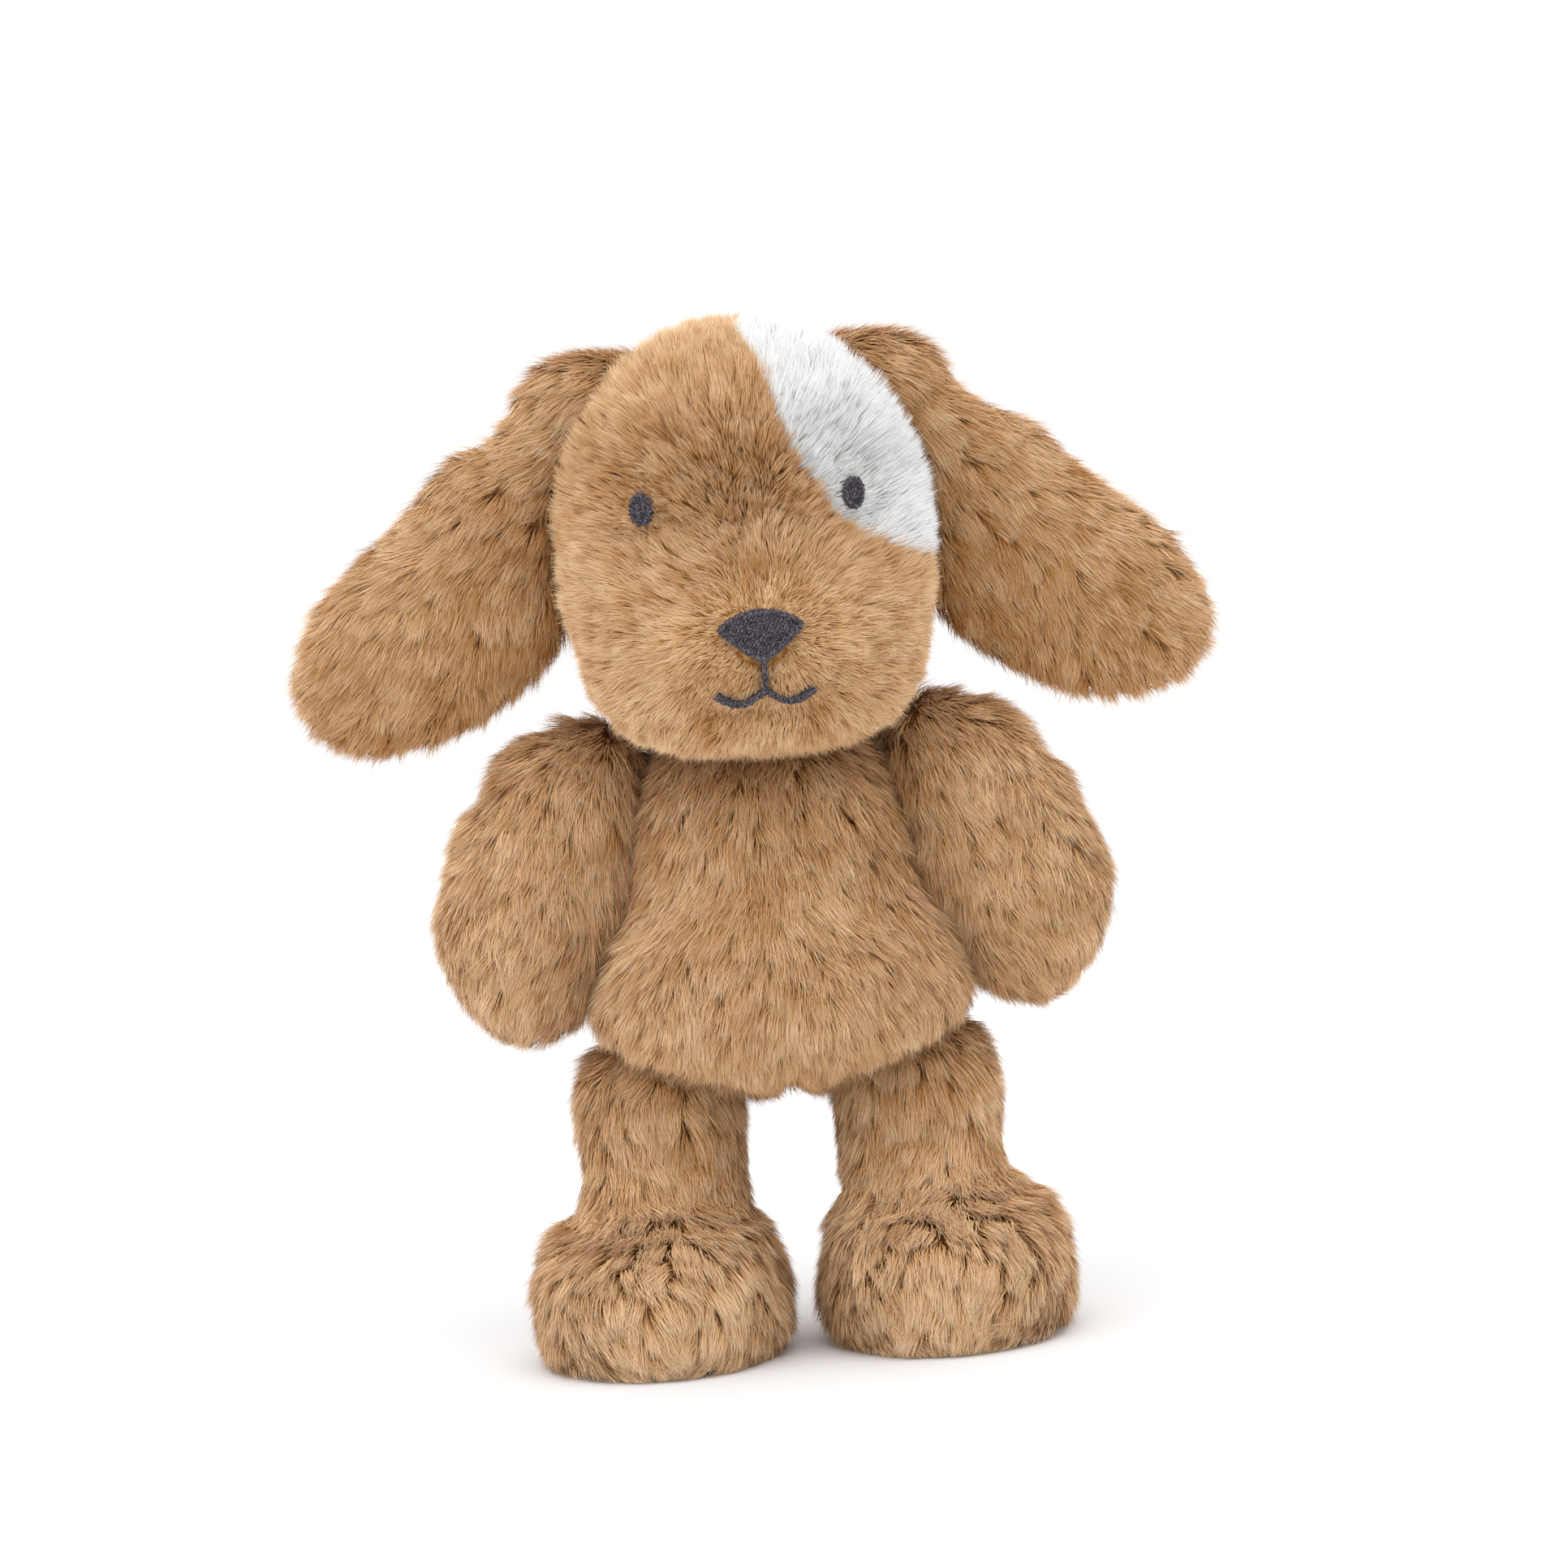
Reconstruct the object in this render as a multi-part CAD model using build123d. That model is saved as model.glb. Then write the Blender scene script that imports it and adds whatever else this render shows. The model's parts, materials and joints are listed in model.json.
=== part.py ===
"""Standing plush dog: sewn pile-fabric panels over fibre filling, in millimetres.

+Z is up, the dog faces -Y and its own left side is +X. The origin is on the
floor, under the middle of the dog's bounding box. Every body part is a stack of
ovals. Its cover is a thin shell cut into sewn panels, and the filling is the
same stack, drawn inwards.
"""
import math
import os
from dataclasses import dataclass

from build123d import *

# Cloth and clearances
COVER = 4.5  # backing cloth with its pile pressed flat
SEAM_GAP = 0.3  # between a cover and the filling inside it
PLAY = 0.5  # between a limb's round end and its hollow
SIDES = (("right", -1), ("left", 1))  # the dog's own right and left

# Head
HEAD_LOW, HEAD_TOP = 195.0, 331.5
HEAD_HALF_WIDTH, HEAD_HALF_DEPTH = 58.5, 57.0
BROW_Z, CHEEK_Z, JOWL_Z = 264.0, 240.0, 222.0
FACE_SEAM_Y = 8.0  # the face panels meet the back of the head here
CHIN_SEAM_Z = 212.0
MUZZLE_Y, MUZZLE_Z = -47.0, 231.0
NECK = (0.0, 2.0, 165.0)  # centre of the round top of the torso
NECK_RADIUS = 43.0
PATCH_SEAM = ((-1, 337), (6, 320), (11, 302), (16, 288), (24, 274), (42, 259), (66, 251))

# Embroidery, seen from the front
EYE_X, EYE_Z = 33.7, 277.5
EYE_HALF_WIDTH, EYE_HALF_HEIGHT = 3.6, 5.4
NOSE_HALF_WIDTH = 13.5
NOSE_CORNER_Z, NOSE_TOP_Z, NOSE_TIP_Z = 239.0, 244.5, 229.0
MOUTH_Z, LIP_END_Z, LIP_DIP_Z = 219.5, 220.3, 215.3
LIP_REACH = 16.5
STITCH_WIDTH = 2.2
STITCH_RELIEF = 1.3  # how far the embroidery stands off the cover

# Ears
EAR_ROOT = (47.0, 8.0, 309.0)
EAR_DROOP = 43.0  # degrees below level
EAR_HALF_THICKNESS = 9.5
EAR_SOCKET = 22.0
EAR_CLEARANCE = 1.5

# Torso
TORSO_LOW, BELLY_Z = 85.5, 115.0
BELLY_HALF_WIDTH, BELLY_HALF_DEPTH = 57.5, 48.0
SIDE_SEAM_Y = 3.0  # front and back panels of the torso meet here
WAD_Z, WAD_RADIUS = 190.0, 14.0  # filling ball that the head turns on
LABEL_AT = (24.0, 45.5, 97.0)
LABEL_WIDTH, LABEL_THICKNESS, LABEL_HEIGHT = 20.0, 1.0, 30.0
LABEL_TILT = -12.0
TORSO_TOP_REACH = 60.0  # long enough to pass out through the top of the torso

# Arms
SHOULDER = (54.0, 4.0, 189.0)
SHOULDER_RADIUS = 17.5
ARM_TOP, ARM_LOW, PAW_Z = 207.0, 107.5, 144.0

# Legs
HIP = (41.8, 2.0, 78.0)
HIP_RADIUS = 24.5
LEG_HALF_WIDTH = 25.2
FOOT_X, FOOT_Y = 46.3, -13.0
FOOT_HALF_WIDTH, FOOT_HALF_LENGTH = 38.7, 47.0
SOLE_SEAM_Z = 6.0
ANKLE_SEAM_Z = 46.0

# Tail
TAIL_ROOT = (0.0, 47.0, 114.0)
TAIL_RADIUS, TAIL_WIDEST = 9.0, 12.0
TAIL_COVER = 3.5
TAIL_HOLLOW = 14.0
TAIL_LIFT = 38.0  # degrees above level
TAIL_LENGTH = 50.0

# Cloth bags of pellets: centre, then half sizes
SEAT_POUCH = ((0.0, 0.0, 119.0), (34.0, 29.0, 10.0))
FOOT_POUCH = ((FOOT_X, FOOT_Y, 17.0), (27.0, 33.0, 9.0))
POUCH_CLOTH = 1.0
POUCH_ROOM = 1.0

BOX_MIDDLE_Y = 6.25  # the bounding box is centred this far behind the leg line
LARGE = 400.0


@dataclass
class Oval:
    """One level cut through a body part: its height, centre and half sizes."""

    z: float
    x: float
    y: float
    half_x: float
    half_y: float


def oval_face(cut, inset=0.0, points=16):
    """Face of one cut, with its rim drawn in by the inset."""
    rim = []
    for step in range(points):
        angle = 2 * math.pi * step / points
        rim.append((
            cut.x + (cut.half_x - inset) * math.cos(angle),
            cut.y + (cut.half_y - inset) * math.sin(angle),
            cut.z,
        ))
    return make_face(Spline(*rim, periodic=True))


def cap(edge, height, lean_x=0.0, lean_y=0.0, fullness=1.0):
    """Ovals that close a stack beyond its end cut, as a quarter ellipse does.

    A negative height closes it downwards. The centre leans as the cap closes,
    and a fullness under 1 keeps the cap wide in X for longer.
    """
    ovals = []
    for degrees in (28, 50, 68, 80):
        rise, spread = math.sin(math.radians(degrees)), math.cos(math.radians(degrees))
        ovals.append(Oval(
            edge.z + height * rise,
            edge.x + lean_x * rise,
            edge.y + lean_y * rise,
            edge.half_x * spread**fullness,
            edge.half_y * spread,
        ))
    return ovals


def stack(cuts, inset=0.0, flat_base=False):
    """Solid through a list of ovals from the lowest up, drawn in by the inset."""
    low, high = cuts[0].z, cuts[-1].z
    floor = low + inset
    scale = (high - low - 2 * inset) / (high - low)
    faces = []
    for cut in cuts:
        at_end = not flat_base or cut is not cuts[0]
        shrink = min(inset, 0.75 * min(cut.half_x, cut.half_y)) if at_end else inset
        moved = Oval(floor + (cut.z - low) * scale, cut.x, cut.y, cut.half_x, cut.half_y)
        faces.append(oval_face(moved, shrink))
    return loft(faces)


def ball(centre, radius):
    """Sphere with its centre at a point."""
    return Pos(*centre) * Sphere(radius)


def block(x0, x1, y0, y1, z0, z1):
    """Box between two corners."""
    middle = Pos((x0 + x1) / 2, (y0 + y1) / 2, (z0 + z1) / 2)
    return middle * Box(x1 - x0, y1 - y0, z1 - z0)


def side_block(side, y0=-LARGE, y1=LARGE, z0=0.0, z1=LARGE):
    """Box that holds everything on one side of the dog, between y and z limits."""
    return block(min(0, side * LARGE), max(0, side * LARGE), y0, y1, z0, z1)


def mirrored(point, side):
    """A point on the dog's left, or its mirror image on the right."""
    return (side * point[0], point[1], point[2])


def save(name, shape):
    """Write one node's solids, with the origin under the middle of the dog."""
    solids = [Pos(0, -BOX_MIDDLE_Y, 0) * solid for solid in shape.solids()]
    whole = Compound(label=name, children=solids) if len(solids) > 1 else solids[0]
    export_step(whole, os.path.join("parts", f"{name}.step"))
    print(f"{name:26s} {len(solids)} solid(s)  {sum(s.volume for s in solids) / 1000:8.2f} cm3")


# ---------------------------------------------------------------- head


def head_cuts():
    """Ovals of the head from the chin to the crown."""
    jowl = Oval(JOWL_Z, 0, -9, HEAD_HALF_WIDTH - 6, HEAD_HALF_DEPTH + 1)
    cheek = Oval(CHEEK_Z, 0, -6, HEAD_HALF_WIDTH - 2, HEAD_HALF_DEPTH + 3)
    brow = Oval(BROW_Z, 0, 0, HEAD_HALF_WIDTH, HEAD_HALF_DEPTH)
    chin = cap(jowl, HEAD_LOW - JOWL_Z, lean_y=-8)
    crown = cap(brow, HEAD_TOP - BROW_Z)
    return chin[::-1] + [jowl, cheek, brow] + crown


def muzzle_cuts():
    """Ovals of the bulge that carries the nose and mouth."""
    middle = Oval(MUZZLE_Z, 0, MUZZLE_Y, 35, 27)
    return cap(middle, -25)[::-1] + [middle] + cap(middle, 23)


def head_form(inset):
    """The head's outer form, drawn in by the inset."""
    return stack(head_cuts(), inset) + stack(muzzle_cuts(), inset)


def ear_sockets(radius):
    """Slots in the sides of the head that the ear roots turn in."""
    slots = []
    for _, side in SIDES:
        depth = 2 * (EAR_HALF_THICKNESS + 1.0)
        drum = Pos(*mirrored(EAR_ROOT, side)) * Rot(90, 0, 0) * Cylinder(radius, depth)
        slots.append(drum)
    return slots[0] + slots[1]


def patch_prism():
    """Region of the face that the white panel over the left eye covers."""
    seam = [(x, 0, z) for x, z in PATCH_SEAM]
    side, top = HEAD_HALF_WIDTH + 30, HEAD_TOP + 20
    corners = [(side, 0, seam[-1][2]), (side, 0, top), (seam[0][0], 0, top)]
    outline = make_face([Spline(*seam), Polyline(seam[-1], *corners, seam[0])])
    forward = extrude(outline, amount=LARGE / 2, dir=(0, -1, 0))
    return forward + extrude(outline, amount=FACE_SEAM_Y, dir=(0, 1, 0))


def front_pad(outline, low, high):
    """Embroidered pad on the face: an outline seen from the front, low to high."""
    column = extrude(outline, amount=LARGE / 2, dir=(0, -1, 0))
    return column & (high - low)


def eye_outline(side):
    """Upright oval of one eye, seen from the front."""
    plane = Plane((side * EYE_X, 0, EYE_Z), x_dir=(1, 0, 0), z_dir=(0, -1, 0))
    return plane * Ellipse(EYE_HALF_WIDTH, EYE_HALF_HEIGHT)


def nose_outline():
    """Rounded triangle of the nose, point down."""
    right, left = (-NOSE_HALF_WIDTH, 0, NOSE_CORNER_Z), (NOSE_HALF_WIDTH, 0, NOSE_CORNER_Z)
    shoulder_z, side_z = NOSE_TOP_Z - 1, NOSE_TIP_Z + 4
    top = Spline(right, (-9, 0, shoulder_z), (0, 0, NOSE_TOP_Z), (9, 0, shoulder_z), left)
    tip = Spline(left, (8, 0, side_z), (0, 0, NOSE_TIP_Z), (-8, 0, side_z), right)
    return make_face([top, tip])


def mouth_outline():
    """Stem below the nose and the two curved lips, as flat ribbons."""
    plane = Plane((0, 0, 0), x_dir=(1, 0, 0), z_dir=(0, -1, 0))
    stem_top = NOSE_TIP_Z - 0.6
    stem_middle = Pos(0, (stem_top + MOUTH_Z) / 2)
    stem = plane * stem_middle * Rectangle(STITCH_WIDTH, stem_top - MOUTH_Z)
    lips = []
    for _, side in SIDES:
        dip, end = (side * LIP_REACH / 2, LIP_DIP_Z), (side * LIP_REACH, LIP_END_Z)
        lip = ThreePointArc((0, MOUTH_Z), dip, end)
        lips.append(plane * trace(lip, line_width=STITCH_WIDTH))
    return stem + lips[0] + lips[1]


def make_head():
    """Panels, filling and embroidery of the head."""
    form = head_form(0)
    neck_hollow = ball(NECK, NECK_RADIUS + PLAY)
    cover = form - head_form(COVER) - neck_hollow - ear_sockets(EAR_SOCKET)
    front = cover & block(-LARGE, LARGE, -LARGE, FACE_SEAM_Y, 0, LARGE)
    back = cover & block(-LARGE, LARGE, FACE_SEAM_Y, LARGE, 0, LARGE)
    below = block(-LARGE, LARGE, -LARGE, LARGE, 0, CHIN_SEAM_Z)
    prism = patch_prism()
    save("chin", front & below)
    face = front - below
    save("eye_patch", face & prism)
    face = face - prism
    for name, side in SIDES:
        save(f"face_{name}", face & side_block(side))
        save(f"head_back_{name}", back & side_block(side))
    filling = head_form(COVER + SEAM_GAP) - ball(NECK, NECK_RADIUS + COVER + 1)
    save("head_filling", filling - ear_sockets(EAR_SOCKET + COVER))
    low, high = head_form(-0.05), head_form(-STITCH_RELIEF)
    for name, side in SIDES:
        save(f"eye_{name}", front_pad(eye_outline(side), low, high))
    save("nose", front_pad(nose_outline(), low, high))
    save("mouth", front_pad(mouth_outline(), low, high))


# ---------------------------------------------------------------- ears


def ear_cuts():
    """Ovals along the ear from its root: X is across the flap, Z along it."""
    thick = EAR_HALF_THICKNESS
    root = Oval(2, 0, 0, 18.5, thick - 1)
    middle = Oval(42, -7, 0, 27, thick - 0.5)
    wide = Oval(86, -13, 0, 33, thick)
    return cap(root, -18)[::-1] + [root, middle, wide] + cap(wide, 50, lean_x=6)


def ear_place(side):
    """Where the ear's own frame sits: along the droop, flat to the front."""
    droop = math.radians(EAR_DROOP)
    along = (side * math.cos(droop), 0, -math.sin(droop))
    across = (side * math.sin(droop), 0, math.cos(droop))
    return Plane(origin=mirrored(EAR_ROOT, side), x_dir=across, z_dir=along)


def ear_form(side, inset=0.0):
    """One ear's flap, shrunk about its middle by the inset on every side."""
    middle = Pos(-9, 0, 58)
    half_width, half_length = 33.0, 76.0
    by = (1 - inset / half_width, 1 - inset / EAR_HALF_THICKNESS, 1 - inset / half_length)
    flap = middle * scale(middle.inverse() * stack(ear_cuts()), by=by)
    return ear_place(side) * flap


def make_ears():
    """Front and back panels and the thin wadding of both ears."""
    sockets = [ball(mirrored(EAR_ROOT, side), EAR_SOCKET - 1) for _, side in SIDES]
    clear = head_form(-EAR_CLEARANCE) - sockets[0] - sockets[1]
    for name, side in SIDES:
        outer = ear_form(side) - clear
        cover = outer - (ear_form(side, COVER) - head_form(-EAR_CLEARANCE - COVER))
        deep = COVER + SEAM_GAP
        front = block(-LARGE, LARGE, -LARGE, EAR_ROOT[1], 0, LARGE)
        save(f"ear_{name}_front", cover & front)
        save(f"ear_{name}_back", cover - front)
        save(f"ear_{name}_wadding", ear_form(side, deep) - head_form(-EAR_CLEARANCE - deep))


# ---------------------------------------------------------------- torso


def torso_form(inset):
    """Pear-shaped torso with a round top, drawn in by the inset."""
    belly = Oval(BELLY_Z, 0, -2, BELLY_HALF_WIDTH, BELLY_HALF_DEPTH)
    waist = Oval(138, 0, -1, 52, 45.5)
    chest = Oval(NECK[2], NECK[0], NECK[1], NECK_RADIUS, NECK_RADIUS)
    seat = cap(belly, TORSO_LOW - BELLY_Z)
    return stack(seat[::-1] + [belly, waist, chest] + cap(chest, NECK_RADIUS), inset)


def hip_room(side, margin):
    """Room for one leg, from standing straight to pointing forward."""
    radius = HIP_RADIUS + margin
    half = LEG_HALF_WIDTH + margin
    top, low = HIP[2] + radius, HIP[2] - radius
    round_back = ThreePointArc((0, HIP[1], top), (0, HIP[1] + radius, HIP[2]), (0, HIP[1], low))
    reach = Polyline((0, HIP[1], low), (0, -LARGE / 2, low), (0, -LARGE / 2, top), (0, HIP[1], top))
    slot = extrude(make_face([round_back, reach]), amount=2 * half, dir=(1, 0, 0))
    return Pos(side * HIP[0] - half, 0, 0) * slot


def less_limbs(shape, margin, sides=(-1, 1)):
    """A piece of the torso less the room that arms, legs and tail turn in."""
    for side in sides:
        shape = shape - ball(mirrored(SHOULDER, side), SHOULDER_RADIUS + margin)
        shape = shape - hip_room(side, margin)
    return shape - ball(TAIL_ROOT, TAIL_HOLLOW - PLAY + margin)


def pouch(centre, half_sizes, margin=0.0):
    """Flattened bag shape for loose pellets, grown by the margin."""
    return Pos(*centre) * scale(Sphere(1), by=tuple(half + margin for half in half_sizes))


def save_pouch(name, centre, half_sizes):
    """Cloth bag and the pellets inside it. The hole it needs is returned."""
    inside = pouch(centre, half_sizes, -POUCH_CLOTH)
    save(f"{name}_pouch", pouch(centre, half_sizes) - inside)
    save(f"{name}_pellets", pouch(centre, half_sizes, -POUCH_CLOTH - 0.2))
    return pouch(centre, half_sizes, POUCH_ROOM)


def make_torso():
    """Four panels, filling, seat pouch, neck wad and care label of the torso."""
    wad_centre = (NECK[0], NECK[1], WAD_Z)
    upward = (Align.CENTER, Align.CENTER, Align.MIN)
    shaft = Cylinder(WAD_RADIUS + PLAY, TORSO_TOP_REACH, align=upward)
    well = Pos(*wad_centre) * shaft + ball(wad_centre, WAD_RADIUS + PLAY)
    cover = torso_form(0) - torso_form(COVER)
    for name, side in SIDES:
        front = cover & side_block(side, y1=SIDE_SEAM_Y)
        back = cover & side_block(side, y0=SIDE_SEAM_Y)
        save(f"torso_front_{name}", less_limbs(front, PLAY, [side]) - well)
        save(f"torso_back_{name}", less_limbs(back, PLAY, [side]) - well)
    seat = save_pouch("seat", *SEAT_POUCH)
    filling = torso_form(COVER + SEAM_GAP) - seat
    save("torso_filling", less_limbs(filling, PLAY + COVER) - well)
    save("neck_wad", ball(wad_centre, WAD_RADIUS))
    ribbon = Box(LABEL_WIDTH, LABEL_THICKNESS, LABEL_HEIGHT)
    label = Pos(*LABEL_AT) * Rot(LABEL_TILT, 0, 0) * ribbon
    save("care_label", label - torso_form(-0.1))


# ---------------------------------------------------------------- arms


def arm_cuts(side):
    """Ovals of one arm from the paw up to the shoulder."""
    paw = Oval(PAW_Z, side * 81.3, -1, 26.3, 23)
    fore = Oval(162, side * 77, 0, 25.5, 22)
    upper = Oval(181, side * 66, 3, 22.5, 19.5)
    shoulder = Oval(SHOULDER[2], side * (SHOULDER[0] + 3), SHOULDER[1], 19, 17.5)
    tip = cap(paw, ARM_LOW - PAW_Z, lean_x=side * -1)
    top = cap(shoulder, ARM_TOP - SHOULDER[2], lean_x=side * -3)
    return tip[::-1] + [paw, fore, upper, shoulder] + top


def make_arms():
    """Outer and inner panels and filling of both arms."""
    for name, side in SIDES:
        cover = stack(arm_cuts(side)) - stack(arm_cuts(side), COVER)
        middle = SHOULDER[0] + 14
        paw_plane = Plane(origin=(side * middle, 0, 170), z_dir=(side * 0.94, 0, 0.34))
        outside = paw_plane * Pos(0, 0, LARGE / 2) * Box(LARGE, LARGE, LARGE)
        save(f"arm_{name}_outer", cover & outside)
        save(f"arm_{name}_inner", cover - outside)
        save(f"arm_{name}_filling", stack(arm_cuts(side), COVER + SEAM_GAP))


# ---------------------------------------------------------------- legs


def leg_cuts(side):
    """Ovals of one leg from its flat sole up to its round top."""
    x, foot_x = side * HIP[0], side * FOOT_X
    sole = Oval(0, foot_x, FOOT_Y, FOOT_HALF_WIDTH - 5.5, FOOT_HALF_LENGTH - 6)
    welt = Oval(SOLE_SEAM_Z, foot_x, FOOT_Y, FOOT_HALF_WIDTH - 1, FOOT_HALF_LENGTH - 1.5)
    pad = Oval(20, foot_x, FOOT_Y, FOOT_HALF_WIDTH, FOOT_HALF_LENGTH)
    instep = Oval(37, foot_x, FOOT_Y + 1, FOOT_HALF_WIDTH - 4, FOOT_HALF_LENGTH - 5)
    ankle = Oval(52, side * (HIP[0] + 1), -3, LEG_HALF_WIDTH + 0.6, 29)
    shin = Oval(63, x, 1, LEG_HALF_WIDTH - 0.6, HIP_RADIUS)
    thigh = Oval(HIP[2], x, HIP[1], LEG_HALF_WIDTH, HIP_RADIUS)
    return [sole, welt, pad, instep, ankle, shin, thigh] + cap(thigh, HIP_RADIUS, fullness=0.5)


def make_legs():
    """Panels, sole, filling and pellet pouch of both legs."""
    for name, side in SIDES:
        cuts = leg_cuts(side)
        cover = stack(cuts) - stack(cuts, COVER, flat_base=True)
        foot = block(-LARGE, LARGE, -LARGE, LARGE, SOLE_SEAM_Z, ANKLE_SEAM_Z)
        upper = block(-LARGE, LARGE, -LARGE, LARGE, ANKLE_SEAM_Z, LARGE)
        front = block(-LARGE, LARGE, -LARGE, HIP[1], ANKLE_SEAM_Z, LARGE)
        save(f"sole_{name}", cover & block(-LARGE, LARGE, -LARGE, LARGE, -1, SOLE_SEAM_Z))
        save(f"foot_{name}", cover & foot)
        save(f"leg_{name}_front", cover & front)
        save(f"leg_{name}_back", (cover & upper) - front)
        centre, half_sizes = FOOT_POUCH
        hole = save_pouch(f"foot_{name}", mirrored(centre, side), half_sizes)
        filling = stack(cuts, COVER + SEAM_GAP, flat_base=True)
        save(f"leg_{name}_filling", filling - hole)


# ---------------------------------------------------------------- tail


def make_tail():
    """Upper and lower panels and filling of the tail."""
    root = Oval(2, 0, 0, TAIL_RADIUS, TAIL_RADIUS)
    wide = Oval(26, 0, 0, TAIL_WIDEST, TAIL_WIDEST)
    cuts = cap(root, -TAIL_RADIUS)[::-1] + [root, wide] + cap(wide, TAIL_LENGTH - wide.z)
    lift = math.radians(TAIL_LIFT)
    place = Plane(origin=TAIL_ROOT, x_dir=(1, 0, 0), z_dir=(0, math.cos(lift), math.sin(lift)))
    cover = place * (stack(cuts) - stack(cuts, TAIL_COVER))
    right = block(-LARGE, 0, -LARGE, LARGE, 0, LARGE)
    save("tail_right", cover & right)
    save("tail_left", cover - right)
    save("tail_filling", place * stack(cuts, TAIL_COVER + SEAM_GAP))


def main():
    """Write every node of the dog."""
    os.makedirs("parts", exist_ok=True)
    make_head()
    make_ears()
    make_torso()
    make_arms()
    make_legs()
    make_tail()


main()
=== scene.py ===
"""Standing plush dog: sewn long-pile panels over fibre stuffing, with stitched features.

Each stuffed part is one closed form, cut along its seams into cloth panels. Every panel
carries its own pile, brushed the way the toy is brushed, and moves with its CAD body.
Forms are worked out in millimetres and written in metres.
"""

import itertools
import json
import logging
import math
from dataclasses import dataclass, field
from enum import Enum

import bpy
import numpy as np
from mathutils import Matrix, Vector
from mathutils.bvhtree import BVHTree


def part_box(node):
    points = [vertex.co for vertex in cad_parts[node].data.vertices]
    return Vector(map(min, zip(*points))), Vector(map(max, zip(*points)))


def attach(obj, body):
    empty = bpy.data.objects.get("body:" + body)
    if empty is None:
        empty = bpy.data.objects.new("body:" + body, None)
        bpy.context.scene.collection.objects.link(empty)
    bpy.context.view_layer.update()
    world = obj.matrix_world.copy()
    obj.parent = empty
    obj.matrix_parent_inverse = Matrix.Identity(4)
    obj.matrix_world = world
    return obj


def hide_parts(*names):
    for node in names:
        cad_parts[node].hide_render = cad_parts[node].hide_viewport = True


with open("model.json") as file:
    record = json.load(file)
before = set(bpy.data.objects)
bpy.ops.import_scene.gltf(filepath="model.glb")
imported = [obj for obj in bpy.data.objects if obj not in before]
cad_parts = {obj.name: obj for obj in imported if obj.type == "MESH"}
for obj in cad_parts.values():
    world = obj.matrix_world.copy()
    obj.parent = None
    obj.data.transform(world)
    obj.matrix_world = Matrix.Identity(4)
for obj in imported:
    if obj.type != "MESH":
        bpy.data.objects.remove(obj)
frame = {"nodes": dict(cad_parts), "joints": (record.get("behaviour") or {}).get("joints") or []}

LOG = logging.getLogger("plush_dog")
MM = 0.001
VOXEL = 2.6  # grid of the closed forms, in millimetres
SMOOTHING = 4  # rounds that take the grid's steps out of a form
SINK = 3.0  # how far the backing cloth lies inside the pressed pile
CLOTH = 1.2  # backing thickness
EGG_ROWS, EGG_SIDES = 24, 40  # fineness of the eggs that are joined into a form
NAP_UV = "OFBake"  # one column of this map for each strand: tone across, root to tip up
SEED = 411


class Side(Enum):
    """The dog's own right and left, with the sign of X on that side."""

    RIGHT = -1
    LEFT = 1

    @property
    def word(self) -> str:
        """Side as it is written in node names."""
        return self.name.lower()


# ---------------------------------------------------------------- arrays


def unit(vectors: np.ndarray) -> np.ndarray:
    """Rows scaled to length one."""
    return vectors / np.maximum(np.linalg.norm(vectors, axis=-1, keepdims=True), 1e-9)


def ripple(points: np.ndarray, wavelength: float, seed: int) -> np.ndarray:
    """Smooth uneven waves through space, used for anything that drifts over a part.

    Args:
        points: places in millimetres, one to a row.
        wavelength: rough distance from crest to crest.
        seed: picks the pattern.

    Returns:
        One value from -1 to 1 for each point.
    """
    rng = np.random.default_rng(seed)
    total = np.zeros(len(points))
    for _ in range(5):
        direction = unit(rng.normal(size=3))
        rate = 2 * math.pi / (wavelength * rng.uniform(0.7, 1.4))
        total += np.sin(points @ direction * rate + rng.uniform(0, 2 * math.pi))
    return np.clip(total / 3, -1, 1)


def near_path(points: np.ndarray, path: np.ndarray) -> np.ndarray:
    """Distance from each point to a line through the path's corners.

    Args:
        points: places in millimetres, one to a row.
        path: corners of the path, one to a row.

    Returns:
        One distance for each point.
    """
    best = np.full(len(points), np.inf)
    for start, end in zip(path[:-1], path[1:], strict=True):
        run = end - start
        share = np.clip((points - start) @ run / (run @ run), 0, 1)
        gap = points - start - share[:, None] * run
        best = np.minimum(best, np.linalg.norm(gap, axis=1))
    return best


def turned(vectors: np.ndarray, axes: np.ndarray, angles: np.ndarray) -> np.ndarray:
    """Vectors turned about their own unit axes, by angles in radians.

    Args:
        vectors: vectors to turn, one to a row.
        axes: unit axis for each vector.
        angles: angle for each vector.

    Returns:
        The turned vectors.
    """
    cos, sin = np.cos(angles)[:, None], np.sin(angles)[:, None]
    along = (vectors * axes).sum(1, keepdims=True) * axes
    return vectors * cos + np.cross(axes, vectors) * sin + along * (1 - cos)


# ---------------------------------------------------------------- meshes


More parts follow.
